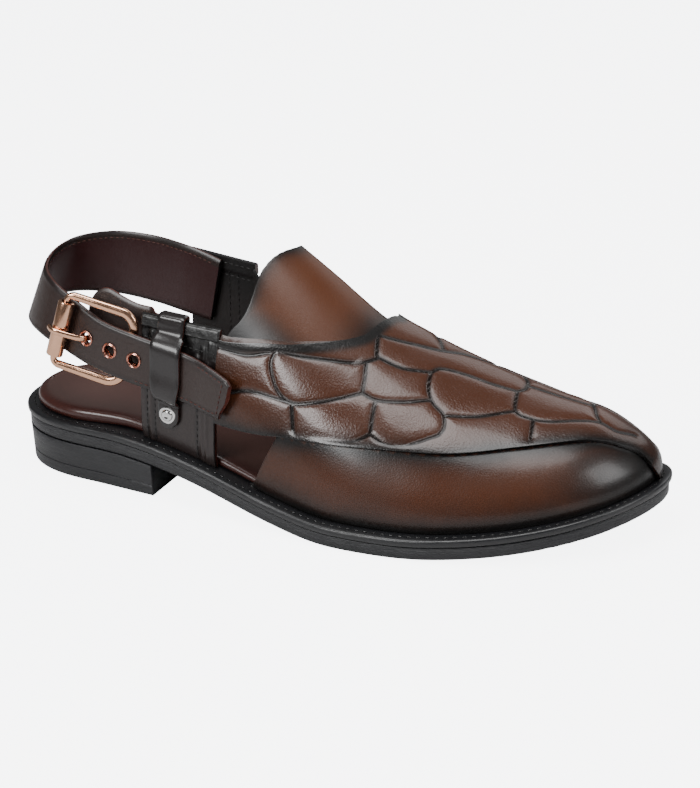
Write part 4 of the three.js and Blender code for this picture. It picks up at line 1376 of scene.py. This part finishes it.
def makeRoller():
    shape = bmesh.new()
    half, radius, bore = buckle["rollerLength"] / 2, buckle["rollerRadius"], buckle["rollerBore"]
    corner = buckle["rollerEdge"]
    profile = [(bore, -half), (radius - corner, -half), (radius - 0.15, -half + 0.15),
               (radius, -half + corner), (radius, half - corner), (radius - 0.15, half - 0.15),
               (radius - corner, half), (bore, half)]
    verts = [shape.verts.new((r * mm, y * mm, 0)) for r, y in profile]
    edges = [shape.edges.new((a, b)) for a, b in zip(verts, verts[1:] + verts[:1])]
    bmesh.ops.spin(shape, geom=verts + edges, cent=(0, 0, 0), axis=(0, 1, 0), angle=math.tau, steps=48,
                   use_merge=True)
    bmesh.ops.remove_doubles(shape, verts=shape.verts, dist=1e-6)
    place = buckleFrame.copy()
    place.translation *= mm
    bmesh.ops.transform(shape, matrix=place, verts=shape.verts)
    bmesh.ops.recalc_face_normals(shape, faces=shape.faces)
    piece = finishPiece(shape, "buckleRoller", ["roseGold"], ["buckle_roller"], 40)


# From the bar under the strap, up through the eyelet and forward over the roller
def makeProng():
    inFrame = buckleFrame.inverted()
    hole = inFrame @ strapFrame(eyeletPlaces[0])[0]
    bar = inFrame @ barCentre
    half = buckle["prongThick"] / 2 + shoe["seam"]
    below = hole.z - shoe["strapThick"] / 2 - half - 0.95
    root = min(bar.z - buckle["depth"] / 2 - half, below)
    over = buckle["rollerRadius"] + half
    path = Path([
        (bar.x + 1, 0, root), (bar.x - 4, 0, root), (hole.x + 5, 0, below), (hole.x + 1.4, 0, below + 0.5),
        (hole.x + 0.3, 0, hole.z), (hole.x - 0.9, 0, hole.z + 2.6), (hole.x - 3, 0, hole.z + 4.2),
        (1.6, 0, over), (-0.8, 0, over), (-3, 0, over - 1), (-4.6, 0, over - 3),
    ])
    turned = buckleFrame.to_3x3()
    points = []
    for i in range(buckle["prongSteps"] + 1):
        t = i / buckle["prongSteps"]
        point, ahead = path.at(t), path.ahead(t)
        sideways = hole.y * smooth(1 - abs(point.x - hole.x) / buckle["length"])
        centre = buckleFrame @ Vector((point.x, sideways, point.z))
        points.append((centre, turned @ Vector((0, 1, 0)), turned @ Vector((-ahead.z, 0, ahead.x))))

    def section(share):
        wide = buckle["prongWide"] * mix(1, buckle["prongTaper"], share)
        return ovalSection(wide, buckle["prongThick"], 2.8, 12)

    piece = finishPiece(sweep(points, section, False), "buckleProng", ["roseGold"], ["buckle_prong"], 60)


makeBuckleFrame()
makeRoller()
makeProng()
print("stage: buckle")


# A profile of (radius, height) spun round axis
def spun(profile, centre, axis, name, look, node):
    shape = bmesh.new()
    verts = [shape.verts.new((r * mm, 0, h * mm)) for r, h in profile]
    edges = [shape.edges.new((a, b)) for a, b in zip(verts, verts[1:])]
    bmesh.ops.spin(shape, geom=verts + edges, cent=(0, 0, 0), axis=(0, 0, 1), angle=math.tau, steps=40,
                   use_merge=True)
    bmesh.ops.remove_doubles(shape, verts=shape.verts, dist=1e-6)
    bmesh.ops.transform(shape, matrix=facing(centre, axis), verts=shape.verts)
    bmesh.ops.recalc_face_normals(shape, faces=shape.faces)
    piece = finishPiece(shape, name, [look], [node], 45)


def makeEyelets():
    bore, flange = strap["eyeletBore"], strap["eyeletFlange"]
    half = shoe["strapThick"] / 2
    ring = [(flange, half + 0.02), (flange - 0.05, half + 0.3), (flange - 0.35, half + 0.55),
            (mix(bore, flange, 0.5), half + 0.65), (bore + 0.3, half + 0.5), (bore, half + 0.1)]
    back = [(r, -h) for r, h in reversed(ring)]
    profile = ring + back + [(bore + 0.5, -half), (bore + 0.5, half), ring[0]]
    for i, t in enumerate(eyeletPlaces):
        centre, outward, _ = strapFrame(t)
        spun(profile, centre, outward, "copperEyelet%d" % (i + 1), "copper", "eyelet_%d" % (i + 1))


# Keeper: a riveted band up the outer strip, over the strap and over the top edge of the strip
keeper = {
    "x": 47.5, "foot": 33.0, "wide": 12.5, "thick": 1.7, "gap": 0.45, "lean": 0.005, "inside": 9.0,
    "steps": 120, "acrossSteps": 14, "edge": 0.45, "rivetRadius": 3.0,
}


def lateralFace(x, z, out):
    return quarterPoint(x, z - soleTop(x), -1, out).y


def keeperLine(x):
    t = strapAt(x)
    centre, outward, upward = strapFrame(t)
    half = strapHalf(t) * upward.z
    slope = upward.y / upward.z
    off = keeper["gap"] + keeper["thick"] / 2
    strapFace = lambda z: centre.y + slope * (z - centre.z) - shoe["strapThick"] / 2
    low, high = centre.z - half, centre.z + half
    top = quarterTop(quarters["lateral"], x)
    band, step, wall = quarters["bandHeight"], quarters["bandStep"], -shoe["quarterThick"]
    points = [(lateralFace(x, keeper["foot"] + d, 0) - off, keeper["foot"] + d) for d in (0, 3, 6, 9)]
    points.append((lateralFace(x, low - 4, 0) - off, low - 4))
    points += [(strapFace(z) - off, z) for z in (low - 1, centre.z, high + 0.6)]
    points += [(lateralFace(x, z, step) - off, z) for z in (top - band, top - 0.5)]
    points += [(lateralFace(x, top, step) - off / 2, top + off), (lateralFace(x, top, wall) + off, top + off)]
    points += [(lateralFace(x, z, wall) + off, z) for z in (top - 1, top - keeper["inside"])]
    return Path([(0, y, z) for y, z in points])


def makeKeeper():
    middle = keeperLine(keeper["x"])
    radius = keeper["wide"] / 2
    lines = {}

    def widthAt(z, u):
        up = clamp((z - keeper["foot"]) / radius)
        if u > 0.6:
            return radius
        tab = radius * mix(0.82, 1.12, smooth((z - keeper["foot"] - 11) / 12))
        return tab * math.sqrt(max(1 - (1 - up) ** 2, 0.0))

    # Between two lines half a millimetre apart
    def spot(u, v, w):
        z = middle.at(u).z
        half = widthAt(z, u)
        side = 2 * v - 1
        x = keeper["x"] + keeper["lean"] * (z - keeper["foot"] - radius) + side * half
        low, share = math.floor(x * 2) / 2, x * 2 - math.floor(x * 2)
        for place in (low, low + 0.5):
            if place not in lines:
                lines[place] = keeperLine(place)
        line = lines[low].at(u).lerp(lines[low + 0.5].at(u), share)
        ahead = lines[low].ahead(u)
        thick = keeper["thick"] / 2 - roll((1 - abs(side)) * half, keeper["edge"])
        out = mix(-thick, thick, w)
        return x, line.y - ahead.z * out, line.z + ahead.y * out

    burnishAndShade = lambda u, v, w: clamp(0.2 + 0.5 * math.exp(-min(v, 1 - v) * 10))
    slots = lambda u0, u1, v0, v1, w0, w1: 1 if onRim(u1, v0, v1) else 0
    shape = block(keeper["steps"], keeper["acrossSteps"], 1, spot, {"burnishAndShade": burnishAndShade}, slots)
    piece = finishPiece(shape, "strapKeeper", ["keeperLeather", "edgePaint"], ["keeper"], 45)


def makeRivet():
    radius = keeper["rivetRadius"]
    z = keeper["foot"] + keeper["wide"] / 2
    face = lateralFace(keeper["x"], z, 0) - keeper["gap"] - keeper["thick"] - 0.15
    shares = [(0.0, -0.2), (1.25, -0.2), (1.28, 0.1), (1.05, 0.35), (0.9, 0.3), (0.86, 0.5), (0.8, 0.85),
              (0.62, 1.2), (0.4, 1.12), (0.32, 0.9), (0.0, 0.85)]
    profile = [(radius * share, height) for share, height in shares]
    centre = Vector((keeper["x"], face, z))
    spun(profile, centre, Vector((0, -1, 0)), "keeperRivet", "chrome", "rivet")


# Flap behind the buckle
tab = {
    "rear": 2.0, "front": 43.0, "height": 30.0, "round": 12.0, "lift": 6.0, "liftEnd": 0.65, "thick": 1.8,
    "bend": 6.0, "edge": 0.5, "steps": 60, "acrossSteps": 30,
}


def makeTab():
    which = quarters["lateral"]
    span = tab["front"] - tab["rear"]
    clearY = barCentre.y + buckle["depth"] / 2 + buckle["prongThick"] + buckle["barSlack"] + 5 * shoe["seam"]
    standOff = clearY - lateralFace(which["rear"], barCentre.z, -shoe["quarterThick"])

    def spot(u, v, w):
        x = mix(tab["rear"], tab["front"], u)
        half = tab["height"] / 2 * math.sqrt(max(1 - (1 - clamp(u * span / tab["round"])) ** 2, 0))
        lift = tab["lift"] * smooth(clamp(1 - u / tab["liftEnd"]))
        middle = quarterTop(which, x) - tab["height"] / 2 + lift
        side = 2 * v - 1
        z = middle + side * half
        free = smooth((which["rear"] + tab["bend"] - x) / tab["bend"])
        face = lateralFace(max(x, which["rear"]), z, -shoe["quarterThick"])
        thick = roll((1 - abs(side)) * half, tab["edge"])
        out = thick if w < 0.5 else tab["thick"] - thick
        return x, face + mix(shoe["seam"], standOff, free) + out, z

    def slots(u0, u1, v0, v1, w0, w1):
        if onRim(u1, v0, v1):
            return 1
        return 0 if w0 > 0.99 else 2

    shape = block(tab["steps"], tab["acrossSteps"], 1, spot, {"burnishAndShade": lambda u, v, w: 0.2}, slots)
    piece = finishPiece(shape, "backingFlap", ["tanNubuck", "edgePaint", "strapLeather"], ["backing_tab"], 45)


makeEyelets()
makeKeeper()
makeRivet()
makeTab()
print("stage: keeper, eyelets, rivet, flap")


# Stitches: short rounded lengths of thread laid along each seam
stitches = {
    "sink": 0.05, "alongSeam": (0.04, 0.86), "alongTop": (0.04, 0.96), "topRows": (0.955, 0.83),
    "insideX": (47.5, 52.0), "insideRise": (0.3, 0.9), "insideAlong": (0.1, 0.97),
    "strapStart": 34.0, "strapTopStart": 62.0, "strapEnd": 76.0, "strapInset": 2.0,
    "weltInset": 3.2, "weltLift": 0.12, "weltSpan": (0.02, 1.98),
}


def stitchRow(name, thread, rows, length, gap, radius):
    shape = bmesh.new()
    size = Matrix.Diagonal((radius * mm, radius * mm, length / 2 * mm, 1))
    lying = Matrix.Rotation(math.pi / 2, 4, "Y")
    for line in rows:
        spots = line["points"]
        travelled, want = 0.0, length / 2
        for a, b, n in zip(spots, spots[1:], line["normals"]):
            part = (b - a).length
            while part > 0 and travelled + part >= want:
                centre = a.lerp(b, (want - travelled) / part) + n * (radius * 0.6 - stitches["sink"])
                ahead = (b - a).normalized()
                side = n.cross(ahead).normalized()
                turn = Matrix((ahead, side, ahead.cross(side))).transposed().to_4x4()
                matrix = Matrix.Translation(centre * mm) @ turn @ lying @ size
                bmesh.ops.create_uvsphere(shape, u_segments=8, v_segments=6, radius=1, matrix=matrix)
                want += length + gap
            travelled += part
    return finishPiece(shape, name, [thread], (), 60)


def rowOf(surface, normal, count=160):
    points = [surface(i / count) for i in range(count + 1)]
    return {"points": points, "normals": [normal(i / count) for i in range(count + 1)]}


def quarterSeamRows(which):
    def face(u, v):
        return quarterSpot(which, u, v, quarterRelief(which, u, v))

    def outward(lean):
        return lambda s: Vector((0, which["side"], lean)).normalized()

    rows = []
    for end, at in which["seams"]:
        x = which["rear"] + at if end == "rear" else which["front"] - at
        u = (x - which["rear"]) / (which["front"] - which["rear"])
        rows.append(rowOf(lambda s, u=u: face(u, mix(*stitches["alongSeam"], s)), outward(0.12)))
    for v in stitches["topRows"]:
        rows.append(rowOf(lambda s, v=v: face(mix(*stitches["alongTop"], s), v), outward(0.15)))
    return rows


# Seams that show on the foot's side of the inner quarter
def innerFaceRows(which):
    face, toFoot = -shoe["quarterThick"], Vector((0, -1, 0.1)).normalized()
    rows = []
    for x in stitches["insideX"]:
        u = (x - which["rear"]) / (which["front"] - which["rear"])
        spot = lambda s, u=u: quarterSpot(which, u, mix(*stitches["insideRise"], s), face)
        rows.append(rowOf(spot, lambda s: toFoot))
    for v, out in ((0.965, face - which["innerFold"]), (0.88, face)):
        spot = lambda s, v=v, out=out: quarterSpot(which, mix(*stitches["insideAlong"], s), v, out)
        rows.append(rowOf(spot, lambda s: toFoot))
    return rows


def strapEdgeRow(fromT, toT, side, inset, face):
    def spot(s):
        t = mix(fromT, toT, s)
        return strapSurface(t, side * (strapHalf(t) - inset), face * shoe["strapThick"] / 2)
    return rowOf(spot, lambda s: strapFrame(mix(fromT, toT, s))[1] * face, 400)


def strapEndRow(face, t, inset):
    half = strapHalf(t) - inset
    spot = lambda s: strapSurface(t, mix(-half, half, s), face * shoe["strapThick"] / 2)
    return rowOf(spot, lambda s: strapFrame(t)[1] * face, 60)


def weltRow():
    inset = stitches["weltInset"]
    first, final = shoe["heelBack"] + inset, soleTip - inset
    start, end = [math.pi * share for share in stitches["weltSpan"]]

    def spot(s):
        turn = mix(start, end, s)
        x = mix(first, final, (1 - math.cos(turn)) / 2)
        side = -1 if turn < math.pi else 1
        return Vector((x, centreLine(x) + side * halfWidth(x, inset), soleTop(x) + stitches["weltLift"]))
    return rowOf(spot, lambda s: Vector((0, 0, 1)), 1200)


def makeStitches():
    rows = quarterSeamRows(quarters["lateral"]) + quarterSeamRows(quarters["inner"])
    rows += innerFaceRows(quarters["inner"])
    seams = stitchRow("quarterStitches", "blackThread", rows, 2.0, 0.8, 0.25)
    startT, topStartT, endT = [strapAt(stitches[key]) for key in ("strapStart", "strapTopStart", "strapEnd")]
    inset = stitches["strapInset"]
    rows = [strapEdgeRow(startT, endT, -1, inset, 1), strapEndRow(1, endT, inset),
            strapEdgeRow(topStartT, endT, 1, inset, 1), strapEdgeRow(0.02, 0.5, 1, strap["hem"] - 0.1, -1)]
    border = stitchRow("strapStitches", "redThread", rows, 1.7, 0.8, 0.24)
    welt = stitchRow("weltStitches", "waxThread", [weltRow()], 2.2, 1.6, 0.26)


makeStitches()
print("stage: stitches")


# Floor, light and camera
lights = {
    "world": 0.13, "floorLift": 6.0,
    "areas": [
        ("overhead", (0.05, -0.1, 1.2), (0.9, 0.6), 13, (0.1, 0.0, 0.0)),
        ("frontLeft", (-0.35, -1.1, 0.8), (0.5, 0.5), 13, (0.1, 0.0, 0.05)),
        ("right", (1.1, -0.1, 0.7), (0.5, 0.6), 7, (0.1, 0.0, 0.05)),
        ("behind", (0.3, 1.1, 0.8), (1.0, 0.5), 2.5, (0.1, 0.0, 0.05)),
    ],
}


def makeFloor():
    shape = bmesh.new()
    bmesh.ops.create_grid(shape, x_segments=8, y_segments=8, size=6)
    bmesh.ops.translate(shape, verts=shape.verts, vec=(0, 0, -0.0002))
    mesh = bpy.data.meshes.new("paleFloor")
    shape.to_mesh(mesh)
    shape.free()
    floor = bpy.data.objects.new("paleFloor", mesh)
    bpy.context.scene.collection.objects.link(floor)
    material, tree, shader = startMaterial("paleFloor")
    cloud = noiseOf(tree, placeOf(tree), 3.0)
    paint(tree, shader, cloud, (0.6, 0.6, 0.61), (0.63, 0.63, 0.63))
    seen = joinNodes(tree, "ShaderNodeLightPath", {}).outputs["Is Camera Ray"]
    lift = calculate(tree, "MULTIPLY", seen, lights["floorLift"])
    tree.links.new(lift, shader.inputs["Emission Strength"])
    setShader(shader, Roughness=0.7, Emission_Color=(0.97, 0.98, 1, 1), Specular_IOR_Level=0.2)
    mesh.materials.append(material)


def makeLights():
    world = bpy.data.worlds.new("studio")
    bpy.context.scene.world = world
    world.use_nodes = True
    background = world.node_tree.nodes["Background"]
    background.inputs["Color"].default_value = (1, 1, 1, 1)
    background.inputs["Strength"].default_value = lights["world"]
    for name, place, size, power, target in lights["areas"]:
        data = bpy.data.lights.new(name, "AREA")
        data.shape = "RECTANGLE"
        data.size, data.size_y = size
        data.energy = power
        lamp = bpy.data.objects.new(name, data)
        lamp.location = place
        lamp.rotation_euler = (Vector(target) - Vector(place)).to_track_quat("-Z", "Y").to_euler()
        bpy.context.scene.collection.objects.link(lamp)


camera = {
    "place": (0.49662, -0.81374, 0.42915), "azimuth": 25.413, "elevation": 23.629, "roll": -1.018,
    "focal": 2001.587, "enlarge": 1.15, "photoCentre": (303.5, 426.5), "frameCentre": (350, 394),
    "principal": (290.145, 447.135), "imageWidth": 700, "imageHeight": 788,
}


def makeCamera():
    a, e, r = [math.radians(camera[key]) for key in ("azimuth", "elevation", "roll")]
    back = Vector((math.sin(a) * math.cos(e), -math.cos(a) * math.cos(e), math.sin(e)))
    right = Vector((math.cos(a), math.sin(a), 0))
    up = back.cross(right)
    turnedRight = right * math.cos(r) + up * math.sin(r)
    turnedUp = up * math.cos(r) - right * math.sin(r)
    data = bpy.data.cameras.new("photoView")
    width = camera["imageWidth"]
    data.sensor_fit = "HORIZONTAL"
    data.sensor_width = 36
    data.lens = camera["focal"] * camera["enlarge"] * 36 / width
    px = camera["frameCentre"][0] + camera["enlarge"] * (camera["principal"][0] - camera["photoCentre"][0])
    py = camera["frameCentre"][1] + camera["enlarge"] * (camera["principal"][1] - camera["photoCentre"][1])
    data.shift_x = -(px - width / 2) / width
    data.shift_y = (py - camera["imageHeight"] / 2) / width
    data.clip_start = 0.01
    viewer = bpy.data.objects.new("photoView", data)
    matrix = Matrix((turnedRight, turnedUp, back)).transposed().to_4x4()
    matrix.translation = camera["place"]
    viewer.matrix_world = matrix
    bpy.context.scene.collection.objects.link(viewer)
    bpy.context.scene.camera = viewer


makeFloor()
makeLights()
makeCamera()
print("stage: floor, light and camera")
